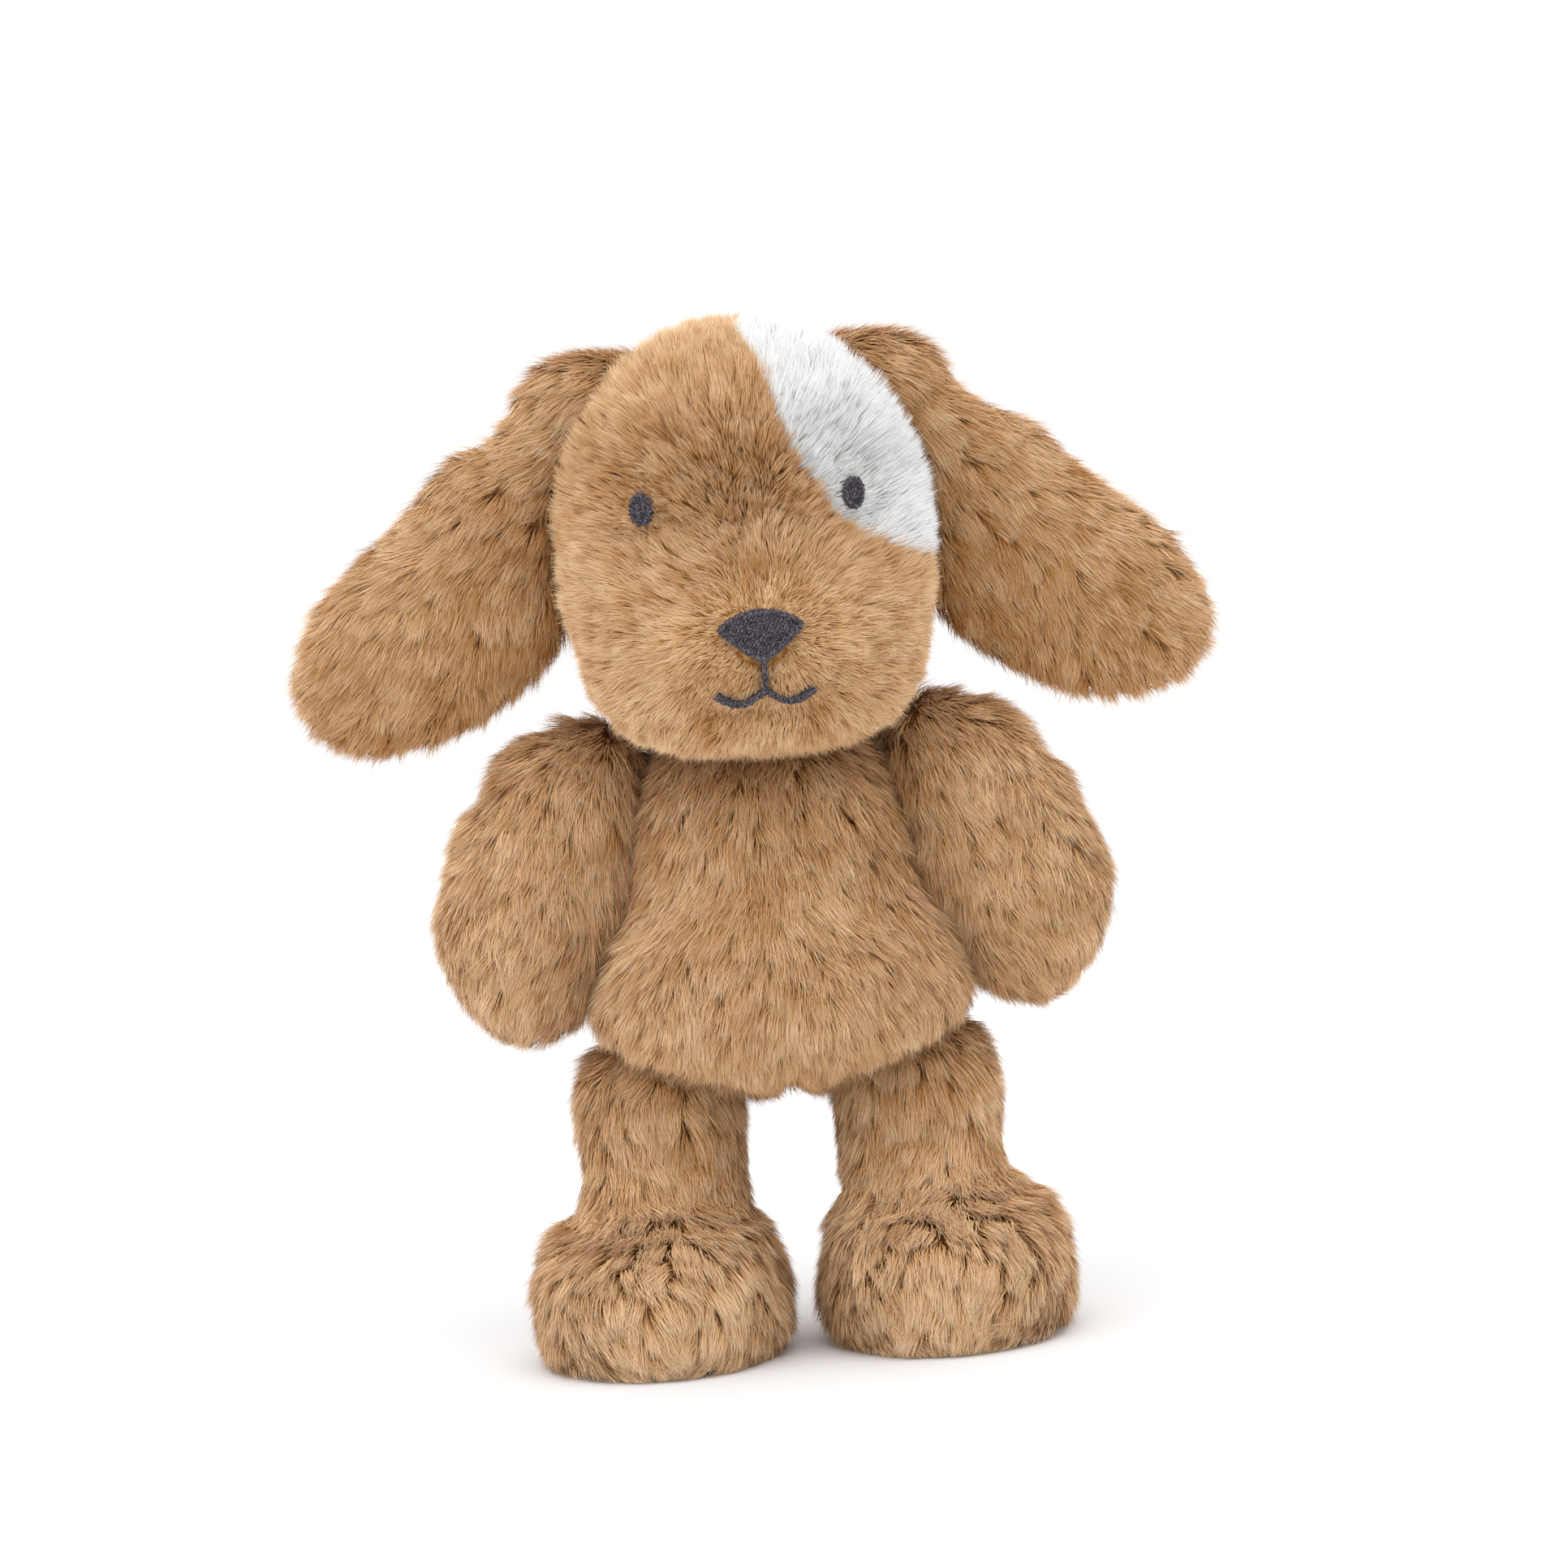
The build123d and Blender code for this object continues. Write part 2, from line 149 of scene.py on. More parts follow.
@dataclass
class Surface:
    """A triangle mesh as arrays, in millimetres."""

    points: np.ndarray
    faces: np.ndarray

    def face_normals(self) -> np.ndarray:
        """Normals of the triangles, as long as twice their area."""
        a, b, c = (self.points[self.faces[:, k]] for k in range(3))
        return np.cross(b - a, c - a)

    def normals(self) -> np.ndarray:
        """Unit normal at each point, weighted by area.

        Returns:
            One unit vector for each point.
        """
        total = np.zeros_like(self.points)
        for k in range(3):
            np.add.at(total, self.faces[:, k], self.face_normals())
        return unit(total)

    def sides(self) -> np.ndarray:
        """Both ends of every triangle's three sides, in the triangle's own order."""
        return np.concatenate([self.faces[:, pair] for pair in ([0, 1], [1, 2], [2, 0])])

    def edges(self) -> np.ndarray:
        """Each edge once, as two point numbers."""
        return np.unique(np.sort(self.sides(), axis=1), axis=0)

    def smoothed(self, rounds: int, strength: float = 0.6) -> "Surface":
        """The surface with each point drawn towards its neighbours' middle, then back out.

        Args:
            rounds: how often the points are drawn in and let out.
            strength: share of the way that each point goes.

        Returns:
            The smoother surface, with the same triangles.
        """
        pairs, points = self.edges(), self.points.copy()
        count = np.bincount(pairs.ravel(), minlength=len(points))[:, None]
        for step in range(rounds * 2):
            total = np.zeros_like(points)
            np.add.at(total, pairs[:, 0], points[pairs[:, 1]])
            np.add.at(total, pairs[:, 1], points[pairs[:, 0]])
            share = strength if step % 2 == 0 else -strength * 0.85
            points += share * (total / np.maximum(count, 1) - points)
        return Surface(points, self.faces)

    def moved(self, amount: np.ndarray | float) -> "Surface":
        """The surface pushed out along its normals by an amount at each point."""
        return Surface(self.points + self.normals() * np.reshape(amount, (-1, 1)), self.faces)

    def only(self, keep: np.ndarray) -> "Surface":
        """The triangles that are kept, with the points they use.

        Args:
            keep: true for each triangle to keep.

        Returns:
            The smaller surface.
        """
        faces = self.faces[keep]
        used, renumbered = np.unique(faces, return_inverse=True)
        return Surface(self.points[used], renumbered.reshape(-1, 3))

    def largest(self) -> "Surface":
        """The biggest joined-up piece, without bubbles left inside it.

        Returns:
            The piece with the most points.
        """
        label = np.arange(len(self.points))
        pairs = self.edges()
        while True:
            lowest = np.minimum(label[pairs[:, 0]], label[pairs[:, 1]])
            before = label.copy()
            np.minimum.at(label, pairs[:, 0], lowest)
            np.minimum.at(label, pairs[:, 1], lowest)
            label = label[label]
            if (label == before).all():
                break
        names, sizes = np.unique(label, return_counts=True)
        return self.only(label[self.faces[:, 0]] == names[sizes.argmax()])

    def tree(self) -> BVHTree:
        """Search tree over the triangles."""
        return BVHTree.FromPolygons(self.points.tolist(), self.faces.tolist())

    def shell(self, thickness: float) -> "Surface":
        """A closed sheet of that thickness, with this surface as its outer face.

        Args:
            thickness: how far apart the two faces lie.

        Returns:
            The sheet's outer face, inner face and rim.
        """
        inner = self.points - self.normals() * thickness
        count = len(self.points)
        sides = self.sides()
        _, inverse, uses = np.unique(
            np.sort(sides, axis=1), axis=0, return_inverse=True, return_counts=True
        )
        rim = sides[uses[inverse.ravel()] == 1]
        walls = np.concatenate([
            np.stack([rim[:, 1], rim[:, 0], rim[:, 0] + count], axis=1),
            np.stack([rim[:, 1], rim[:, 0] + count, rim[:, 1] + count], axis=1),
        ])
        faces = np.concatenate([self.faces, self.faces[:, ::-1] + count, walls])
        return Surface(np.concatenate([self.points, inner]), faces)


def joined(surfaces: list[Surface]) -> Surface:
    """Several surfaces as one.

    Args:
        surfaces: surfaces to put together.

    Returns:
        One surface that holds them all.
    """
    starts = np.cumsum([0] + [len(s.points) for s in surfaces[:-1]])
    faces = [s.faces + start for s, start in zip(surfaces, starts, strict=True)]
    return Surface(np.concatenate([s.points for s in surfaces]), np.concatenate(faces))


def read_mesh(mesh: bpy.types.Mesh, scale: float = 1.0) -> Surface:
    """A Blender mesh as a surface, with its points multiplied by the scale.

    Args:
        mesh: mesh to read.
        scale: what its coordinates are multiplied by.

    Returns:
        Its points and triangles.
    """
    points = np.zeros(len(mesh.vertices) * 3, np.float32)
    mesh.vertices.foreach_get("co", points)
    mesh.calc_loop_triangles()
    faces = np.zeros(len(mesh.loop_triangles) * 3, np.int32)
    mesh.loop_triangles.foreach_get("vertices", faces)
    return Surface(points.reshape(-1, 3).astype(float) * scale, faces.reshape(-1, 3))


def cad_surface(node: str) -> Surface:
    """A CAD node's mesh in millimetres."""
    return read_mesh(frame["nodes"][node].data, 1 / MM)


def egg(centre: tuple[float, float, float], half: tuple[float, float, float]) -> Surface:
    """Ellipsoid about a centre.

    Args:
        centre: middle of the ellipsoid.
        half: its half sizes along X, Y and Z.

    Returns:
        The closed ellipsoid.
    """
    rows, around = EGG_ROWS, EGG_SIDES
    points, faces = [], []
    for row in range(rows + 1):
        polar = math.pi * row / rows
        for step in range(around):
            turn = 2 * math.pi * step / around
            flat = math.sin(polar)
            points.append((flat * math.cos(turn), flat * math.sin(turn), math.cos(polar)))
    for row, step in itertools.product(range(rows), range(around)):
        a, b = row * around + step, row * around + (step + 1) % around
        faces += [(a, a + around, b), (b, a + around, b + around)]
    return Surface(np.array(points) * half + np.array(centre), np.array(faces))


def remeshed(surface: Surface, voxel: float) -> Surface:
    """One closed skin around everything in the surface, on an even grid.

    Args:
        surface: closed forms that may overlap.
        voxel: spacing of the grid.

    Returns:
        The skin, without anything left inside it.
    """
    item = new_object("remesh", surface, 1.0)
    modifier = item.modifiers.new("skin", "REMESH")
    modifier.mode = "VOXEL"
    modifier.voxel_size = voxel
    evaluated = item.evaluated_get(bpy.context.evaluated_depsgraph_get())
    made = read_mesh(evaluated.to_mesh())
    evaluated.to_mesh_clear()
    mesh = item.data
    bpy.data.objects.remove(item)
    bpy.data.meshes.remove(mesh)
    return made.largest()


def new_object(name: str, surface: Surface, scale: float = MM) -> bpy.types.Object:
    """An object in the scene that shows the surface.

    Args:
        name: the new object's name.
        surface: triangles to use.
        scale: metres for each unit of the surface.

    Returns:
        The object, linked to the scene.
    """
    mesh = bpy.data.meshes.new(name)
    count = len(surface.faces)
    mesh.vertices.add(len(surface.points))
    mesh.vertices.foreach_set("co", (surface.points * scale).astype(np.float32).ravel())
    mesh.loops.add(count * 3)
    mesh.loops.foreach_set("vertex_index", surface.faces.astype(np.int32).ravel())
    mesh.polygons.add(count)
    mesh.polygons.foreach_set("loop_start", np.arange(0, count * 3, 3, dtype=np.int32))
    mesh.polygons.foreach_set("use_smooth", np.full(count, True))
    mesh.update(calc_edges=True)
    item = bpy.data.objects.new(name, mesh)
    bpy.context.scene.collection.objects.link(item)
    return item


# ---------------------------------------------------------------- finishes


def linear(code: str) -> tuple[float, float, float, float]:
    """An sRGB hex colour as linear light, with full alpha."""
    parts = [int(code[k:k + 2], 16) / 255 for k in (1, 3, 5)]
    return (*[c / 12.92 if c <= 0.04045 else ((c + 0.055) / 1.055) ** 2.4 for c in parts], 1.0)


def add(tree: bpy.types.NodeTree, kind: str, settings: dict | None = None,
        links: dict | None = None) -> bpy.types.Node:
    """Put a node in a tree.

    Args:
        tree: the material's or world's node tree.
        kind: the node's type.
        settings: values by name; capitals and numbers name sockets, the rest properties.
        links: what feeds each named socket.

    Returns:
        The new node.
    """
    node = tree.nodes.new(kind)
    for name, value in (settings or {}).items():
        if isinstance(name, int) or name[0].isupper():
            node.inputs[name].default_value = value
        else:
            setattr(node, name, value)
    for name, source in (links or {}).items():
        tree.links.new(source, node.inputs[name])
    return node


def ramp(tree: bpy.types.NodeTree, factor: bpy.types.NodeSocket,
         stops: dict[float, str]) -> bpy.types.NodeSocket:
    """Colour ramp through hex colours at the given places.

    Args:
        tree: the material's or world's node tree.
        factor: what picks the place on the ramp.
        stops: hex colour at each place, from 0 to 1.

    Returns:
        The ramp's colour output.
    """
    node = add(tree, "ShaderNodeValToRGB", links={"Fac": factor})
    elements = node.color_ramp.elements
    while len(elements) < len(stops):
        elements.new(0.5)
    for element, (place, code) in zip(elements, sorted(stops.items()), strict=True):
        element.position, element.color = place, linear(code)
    return node.outputs["Color"]


def new_material(name: str) -> tuple[bpy.types.Material, bpy.types.NodeTree]:
    """An empty node material with its tree.

    Args:
        name: the material's name.

    Returns:
        The material and its node tree.
    """
    material = bpy.data.materials.new(name)
    material.use_nodes = True
    material.node_tree.nodes.clear()
    return material, material.node_tree


def close(tree: bpy.types.NodeTree, settings: dict, links: dict) -> None:
    """Finish a material with a Principled surface."""
    surface = add(tree, "ShaderNodeBsdfPrincipled", settings, links)
    add(tree, "ShaderNodeOutputMaterial", links={"Surface": surface.outputs["BSDF"]})


@dataclass(frozen=True)
class PileFinish:
    """Dyed polyester pile: fine crimped fibres, dyed deep and bleached at the tips."""

    name: str
    deep: tuple[str, str, str]
    pale: tuple[str, str, str]
    sheen: float = 0.25

    def material(self) -> bpy.types.Material:
        """Colour runs up each strand, from a deep or pale set picked by its tone.

        Returns:
            The finish of pile strands.
        """
        material, tree = new_material(self.name)
        nap = add(tree, "ShaderNodeUVMap", {"uv_map": NAP_UV})
        split = add(tree, "ShaderNodeSeparateXYZ", links={0: nap.outputs["UV"]})
        # Roots sit in shade and keep their dye, so partings between tufts look dark.
        deep = ramp(tree, split.outputs["Y"], dict(zip((0.0, 0.5, 1.0), self.deep, strict=True)))
        pale = ramp(tree, split.outputs["Y"], dict(zip((0.0, 0.45, 1.0), self.pale, strict=True)))
        mix = add(tree, "ShaderNodeMix", {"data_type": "RGBA"},
                  {0: split.outputs["X"], 6: deep, 7: pale})
        # Polyester fibre scatters broadly, with a soft bloom seen along the nap.
        close(tree, {
            "Roughness": 0.62,
            "Specular IOR Level": 0.22,
            "Sheen Weight": self.sheen,
            "Sheen Roughness": 0.45,
        }, {"Base Color": mix.outputs[2]})
        return material


@dataclass(frozen=True)
class KnitFinish:
    """Warp-knitted polyester backing that holds the pile."""

    name: str
    low: str
    high: str
    loop: float = 1.1  # millimetres from loop to loop

    def material(self) -> bpy.types.Material:
        """Rows of knitted loops in the dye of the pile.

        Returns:
            The finish of the backing.
        """
        material, tree = new_material(self.name)
        place = add(tree, "ShaderNodeTexCoord")
        # Rows of loops read as a fine rib where the pile parts.
        rib = add(tree, "ShaderNodeTexWave", {
            "Scale": 1 / (self.loop * MM) / (2 * math.pi) * 0.6,
            "Distortion": 1.5,
            "Detail": 2.0,
        }, {"Vector": place.outputs["Object"]})
        colour = ramp(tree, rib.outputs["Fac"], {0.0: self.low, 1.0: self.high})
        bump = add(tree, "ShaderNodeBump", {"Strength": 0.4, "Distance": 0.0003},
                   {"Height": rib.outputs["Fac"]})
        close(tree, {"Roughness": 0.9, "Specular IOR Level": 0.15},
              {"Base Color": colour, "Normal": bump.outputs["Normal"]})
        return material


@dataclass(frozen=True)
class ThreadFinish:
    """Rayon embroidery thread: twisted, glossy filament laid in dense rows."""

    name: str
    low: str
    # The lighter grey, used for painted highlights on the thread.
    high: str

    def material(self) -> bpy.types.Material:
        """Painted highlights: patches of each thread are lightened from its dark grey, as if its
        twist glints.

        Returns:
            The finish of embroidery thread.
        """
        material, tree = new_material(self.name)
        place = add(tree, "ShaderNodeTexCoord")
        # Painted highlights: patches of 0.6 mm are lightened, as neighbouring stitches would catch
        # the light differently.
        painted_glint = add(tree, "ShaderNodeTexNoise", {"Scale": 1600.0, "Detail": 2.0},
                      {"Vector": place.outputs["Object"]})
        colour = ramp(tree, painted_glint.outputs["Fac"], {0.44: self.low, 0.62: self.high})
        close(tree, {
            "Roughness": 0.45,
            "Specular IOR Level": 0.4,
        }, {"Base Color": colour})
        return material


@dataclass(frozen=True)
class MatFinish:
    """Plain matt stuff with a mottle: fibre wadding, bag cloth, beads, ribbon or floor."""

    name: str
    low: str
    high: str
    grain: float  # millimetres from patch to patch
    roughness: float = 0.85

    def material(self) -> bpy.types.Material:
        """Two close shades in soft patches, with a light relief of the same grain.

        Returns:
            The finish, in its two shades.
        """
        material, tree = new_material(self.name)
        place = add(tree, "ShaderNodeTexCoord")
        mottle = add(tree, "ShaderNodeTexNoise", {"Scale": 1 / (self.grain * MM), "Detail": 3.0},
                     {"Vector": place.outputs["Object"]})
        colour = ramp(tree, mottle.outputs["Fac"], {0.3: self.low, 0.7: self.high})
        bump = add(tree, "ShaderNodeBump", {"Strength": 0.3, "Distance": 0.0004},
                   {"Height": mottle.outputs["Fac"]})
        close(tree, {"Roughness": self.roughness, "Specular IOR Level": 0.2},
              {"Base Color": colour, "Normal": bump.outputs["Normal"]})
        return material


@dataclass
class Finishes:
    """Every material of the dog, made once."""

    tan: bpy.types.Material = field(init=False)
    white: bpy.types.Material = field(init=False)
    tan_knit: bpy.types.Material = field(init=False)
    white_knit: bpy.types.Material = field(init=False)
    thread: bpy.types.Material = field(init=False)
    fibre: bpy.types.Material = field(init=False)
    bag: bpy.types.Material = field(init=False)
    beads: bpy.types.Material = field(init=False)
    ribbon: bpy.types.Material = field(init=False)

    def __post_init__(self) -> None:
        """Make the materials."""
        self.tan = PileFinish(
            "tan_pile", ("#5A2C06", "#A56826", "#C89456"), ("#A86C2A", "#E3B680", "#F8E0BE"), 0.06,
        ).material()
        self.white = PileFinish(
            "white_pile", ("#DCD9D4", "#E8E7E5", "#EDEDED"), ("#E3E2DF", "#EFEFEF", "#F5F7F8"), 0.1,
        ).material()
        self.tan_knit = KnitFinish("tan_backing", "#96662F", "#BC8C54").material()
        self.white_knit = KnitFinish("white_backing", "#C9C2B6", "#DEDAD3").material()
        # The thread's lighter grey is a painted highlight.
        self.thread = ThreadFinish("charcoal_thread", "#0B080D", "#625B66").material()
        self.fibre = MatFinish("polyester_fibre", "#DCDAD4", "#F1F0EC", 2.5).material()
        self.bag = MatFinish("bag_cloth", "#CFCBBF", "#DEDACF", 0.8).material()
        self.beads = MatFinish("polyethylene_beads", "#BFC3C6", "#E3E6E8", 3.0, 0.45).material()
        self.ribbon = MatFinish("satin_ribbon", "#E4E2DC", "#F2F1EC", 0.4, 0.4).material()


# ---------------------------------------------------------------- pile


@dataclass(frozen=True)
class Coat:
    """How one part's pile is cut and brushed, in millimetres and degrees."""

    length: float = 11.0
    density: float = 4.1  # strands to the square millimetre, far fewer than on real pile
    width: float = 0.31  # each strand stands for a few fibres of 0.05 mm
    root_lean: float = 40.0
    tip_lean: float = 68.0
    tuft: float = 4.5
    gather: float = 0.32
    scatter: float = 11.0
    drift: float = 16.0
    tuft_tones: float = 0.11  # how far tufts differ from each other in tone
    strand_tones: float = 0.17  # and how far single strands do


@dataclass
class Roots:
    """Where strands leave the backing, with what each one is told to do."""

    points: np.ndarray
    normals: np.ndarray
    flow: np.ndarray
    length: np.ndarray
    tone: np.ndarray
    stand: np.ndarray


def tufts(points: np.ndarray, size: float) -> np.ndarray:
    """Number of the tuft that each strand belongs to: the nearest of scattered centres.

    Args:
        points: places in millimetres, one to a row.
        size: rough distance from tuft to tuft.

    Returns:
        One tuft number for each point, counted from zero.
    """
    cell = np.floor(points / size).astype(np.int64)
    best = np.full(len(points), np.inf)
    owner = np.zeros(len(points), np.int64)
    for offset in itertools.product((-1, 0, 1), repeat=3):
        near = cell + offset
        key = (near * (73856093, 19349663, 83492791)).sum(1) & 0x7FFFFFFF
        mixed = (key * 2654435761) & 0xFFFFFFFF
        scatter = np.stack([(mixed >> shift) & 1023 for shift in (0, 10, 20)], axis=1) / 1023
        gap = ((points - (near + scatter) * size) ** 2).sum(1)
        closer = gap < best
        best[closer], owner[closer] = gap[closer], key[closer]
    return np.unique(owner, return_inverse=True)[1].ravel()


def tuft_mean(values: np.ndarray, tuft: np.ndarray) -> np.ndarray:
    """Mean of the values over each strand's tuft."""
    count = np.maximum(np.bincount(tuft), 1)
    return np.stack([np.bincount(tuft, values[:, k]) / count for k in range(3)], axis=1)[tuft]


def grow(name: str, roots: Roots, coat: Coat, material: bpy.types.Material,
         rng: np.random.Generator) -> bpy.types.Object:
    """Pile of tapered ribbons on the given roots.

    Args:
        name: the object's name.
        roots: where strands start and where they head.
        coat: how the pile is cut and gathered.
        material: finish of the strands.
        rng: seeded source of every difference between strands.

    Returns:
        One object that holds all the strands.
    """
    count = len(roots.points)
    tuft = tufts(roots.points, coat.tuft)
    group = int(tuft.max()) + 1
    tuft_turn, tuft_size = rng.normal(size=group), rng.uniform(-1, 1, group)
    tuft_tone = rng.normal(size=group)
    normal = roots.normals
    swing = np.radians(coat.scatter * rng.normal(size=count) + coat.scatter * tuft_turn[tuft]
                       + coat.drift * ripple(roots.points, 42, 5))
    flow = turned(roots.flow, normal, swing)
    stretch = 1 + 0.16 * tuft_size[tuft] + 0.13 * rng.normal(size=count)
    length = roots.length * stretch.clip(0.5, 1.4)
    lean = coat.root_lean + 7 * rng.normal(size=count) + 5 * tuft_size[tuft]
    droop = coat.tip_lean + 8 * rng.normal(size=count) + 6 * tuft_size[tuft]
    lean, droop = (np.radians(angle * (1 - roots.stand))[:, None] for angle in (lean, droop))
    middle = roots.points + (normal * np.cos(lean) + flow * np.sin(lean)) * length[:, None] * 0.45
    tip = middle + (normal * np.cos(droop) + flow * np.sin(droop)) * length[:, None] * 0.55
    pull = coat.gather * (0.75 + 0.45 * rng.random(group)[tuft]) * rng.uniform(0.6, 1.1, count)
    # Short pile can't reach its neighbours, so it gathers less.
    pull = (pull * (roots.length / coat.length).clip(0.2, 1))[:, None]
    tip = tip + pull * (tuft_mean(tip, tuft) - tip)
    middle = middle + 0.35 * pull * (tuft_mean(middle, tuft) - middle)
    middle[:, 2], tip[:, 2] = middle[:, 2].clip(0.3), tip[:, 2].clip(0.2)

    line = unit(tip - roots.points)
    width = unit(np.cross(line, normal))
    width = turned(width, line, np.radians(rng.uniform(-50, 50, count)))
    facing = np.cross(width, line)
    flipped = (facing * normal).sum(1) < 0
    width[flipped], facing[flipped] = -width[flipped], -facing[flipped]
    half = 0.5 * coat.width * (0.8 + 0.4 * rng.random(count))[:, None] * width
    corners = np.stack([
        roots.points - half, roots.points + half,
        middle - 0.85 * half, middle + 0.85 * half, tip,
    ], axis=1)
    start = np.arange(count)[:, None, None] * 5
    faces = (np.array([[0, 1, 3], [0, 3, 2], [2, 3, 4]])[None] + start).reshape(-1, 3)
    item = new_object(name, Surface(corners.reshape(-1, 3), faces))

    # Strands shade partly as the form beneath them does, which keeps the toy's roundness.
    shade = unit(0.6 * unit(facing) + 0.55 * normal)
    attribute = item.data.attributes.new("custom_normal", "FLOAT_VECTOR", "POINT")
    attribute.data.foreach_set("vector", np.repeat(shade, 5, axis=0).astype(np.float32).ravel())
    tone = roots.tone + coat.tuft_tones * tuft_tone[tuft]
    tone += coat.strand_tones * rng.normal(size=count)
    tone = tone.clip(0.02, 0.98)
    corner_u = tone[:, None] + np.array([-0.006, 0.006, -0.006, 0.006, 0.0])
    corner_v = np.tile(np.array([0.01, 0.01, 0.45, 0.45, 0.99]), (count, 1))
    nap = np.stack([corner_u, corner_v], axis=2).reshape(-1, 2)
    layer = item.data.uv_layers.new(name=NAP_UV)
    layer.data.foreach_set("uv", nap[faces.ravel()].astype(np.float32).ravel())
    item.data.materials.append(material)
    return item


# ---------------------------------------------------------------- stuffed parts


@dataclass
class StuffedPart:
    """A sewn and stuffed part: its panels, stuffing, pile and body."""

    finishes: Finishes
    body: str = ""
    panels: tuple[str, ...] = ()
    stuffing: str = ""
    fill: float = 0.8
    coat: Coat = Coat()
    groove: float = 1.2  # how deep a seam draws the cloth in
    tucked: float = 3.0  # pile stops this deep inside another part
    hidden: np.ndarray = field(init=False)
    skin: Surface = field(init=False)
    nearness: np.ndarray = field(init=False)

    def plugs(self) -> list[Surface]:
        """Extra closed forms that fill the hollows left for turning joints."""
        return []

    def sculpted(self, form: Surface) -> Surface:
        """The form with this part's own folds and slack."""
        return form

    def flow(self, points: np.ndarray, normals: np.ndarray) -> np.ndarray:
        """Direction that the pile is brushed in at each point."""
        return np.tile([0.0, -0.1, -1.0], (len(points), 1))

    def pile_length(self, points: np.ndarray) -> np.ndarray:
        """Pile length at each point, in millimetres."""
        return np.full(len(points), self.coat.length)

    def tone(self, points: np.ndarray) -> np.ndarray:
        """How pale the pile is at each point, from 0 to 1."""
        return np.full(len(points), 0.5)

    def stand(self, points: np.ndarray) -> np.ndarray:
        """How upright the pile stands at each point, from 0 to 1."""
        return np.zeros(len(points))

    def bare(self, points: np.ndarray) -> np.ndarray:
        """True where no pile grows, such as under stitching or inside another part."""
        return np.zeros(len(points), bool)

    def form(self) -> Surface:
        """The part's closed outer form, before the cloth is drawn in under its pile."""
        cad = [cad_surface(node) for node in (*self.panels, self.stuffing)]
        return remeshed(joined(cad + self.plugs()), VOXEL).smoothed(SMOOTHING)

    def shape(self) -> None:
        """Work out the cloth's shape and how near each seam is."""
        form = self.form()
        trees = [cad_surface(node).tree() for node in self.panels]
        self.nearness = np.array([
            [tree.find_nearest(point)[3] for tree in trees] for point in form.points.tolist()
        ])
        order = np.sort(self.nearness, axis=1)
        across = order[:, 1] - order[:, 0] if len(trees) > 1 else np.full(len(order), 99.0)
        slack = 0.5 * ripple(form.points, 34, 11) + 0.3 * ripple(form.points, 15, 12)
        drawn = form.moved(-SINK + slack - self.groove * np.exp(-(across / 2.5) ** 2))
        self.skin = self.sculpted(drawn)
        self.hidden = np.zeros(len(self.skin.points), bool)

    def tuck(self, other: "StuffedPart") -> None:
        """Mark where this part's cloth lies well inside another part's.

        Args:
            other: the part that may cover this one.
        """
        low, high = other.skin.points.min(0), other.skin.points.max(0)
        within = np.flatnonzero(((self.skin.points > low) & (self.skin.points < high)).all(1))
        tree = other.skin.tree()
        for index in within:
            point = Vector(self.skin.points[index])
            place, normal, _, _ = tree.find_nearest(point)
            self.hidden[index] |= (point - place).dot(normal) < -self.tucked

    def build(self, rng: np.random.Generator) -> None:
        """Make the stuffing, then each panel of cloth with its pile.

        Args:
            rng: seeded source of every difference.
        """
        self.stuff()
        owner = self.nearness[self.skin.faces].mean(axis=1).argmin(axis=1)
        roots, root_panel = self.roots(rng)
        for index, node in enumerate(self.panels):
            knit, pile = self.cloth(node)
            panel = new_object(f"{node}_panel", self.skin.only(owner == index).shell(CLOTH))
            panel.data.materials.append(knit)
            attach(panel, self.body)
            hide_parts(node)
            mine = root_panel == index
            own = Roots(*[values[mine] for values in roots])
            fur = grow(f"{node}_pile", own, self.coat, pile, rng)
            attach(fur, self.body)
            LOG.info("%s: %d strands", node, int(mine.sum()))

    def stuff(self) -> None:
        """The stuffing, just inside the cloth."""
        item = new_object(f"{self.stuffing}_fibre", self.skin.moved(-CLOTH - 0.8))
        item.data.materials.append(self.finishes.fibre)
        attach(item, self.body)
        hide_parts(self.stuffing)

    def slot_of(self, node: str) -> str:
        """The record's material slot for a panel."""
        return "white_pile" if node == "eye_patch" else "tan_pile"

    def cloth(self, node: str) -> tuple[bpy.types.Material, bpy.types.Material]:
        """Backing and pile materials of a panel.

        Args:
            node: name of the panel's CAD node.

        Returns:
            The backing's material and the pile's.
        """
        if self.slot_of(node) == "white_pile":
            return self.finishes.white_knit, self.finishes.white
        return self.finishes.tan_knit, self.finishes.tan

    def roots(self, rng: np.random.Generator) -> tuple[list[np.ndarray], np.ndarray]:
        """Strand roots over the whole part.

        Args:
            rng: seeded source of every difference.

        Returns:
            The columns of Roots, and the number of the panel under each root.
        """
        area = np.linalg.norm(self.skin.face_normals(), axis=1) / 2
        total = int(area.sum() * self.coat.density * (1.0))
        face = self.skin.faces[rng.choice(len(area), total, p=area / area.sum())]
        share = rng.random((total, 2))
        over = share.sum(1) > 1
        share[over] = 1 - share[over]
        weights = np.stack([1 - share.sum(1), share[:, 0], share[:, 1]], axis=1)[:, :, None]
        points = (self.skin.points[face] * weights).sum(1)
        normals = unit((self.skin.normals()[face] * weights).sum(1))
        panel = (self.nearness[face] * weights).sum(1).argmin(axis=1)
        covered = (self.hidden[face] * weights[:, :, 0]).sum(1) > 0.5
        keep = ~(covered | self.bare(points))
        points, normals, panel = points[keep], normals[keep], panel[keep]
        heading = self.flow(points, normals)
        heading = unit(heading - (heading * normals).sum(1, keepdims=True) * normals)
        columns = [
            points, normals, heading,
            self.pile_length(points), self.tone(points), self.stand(points),
        ]
        return columns, panel


def middle_of(node: str) -> np.ndarray:
    """Middle of a CAD node's box, in millimetres."""
    low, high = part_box(node)
    return np.array((low + high) / 2) / MM


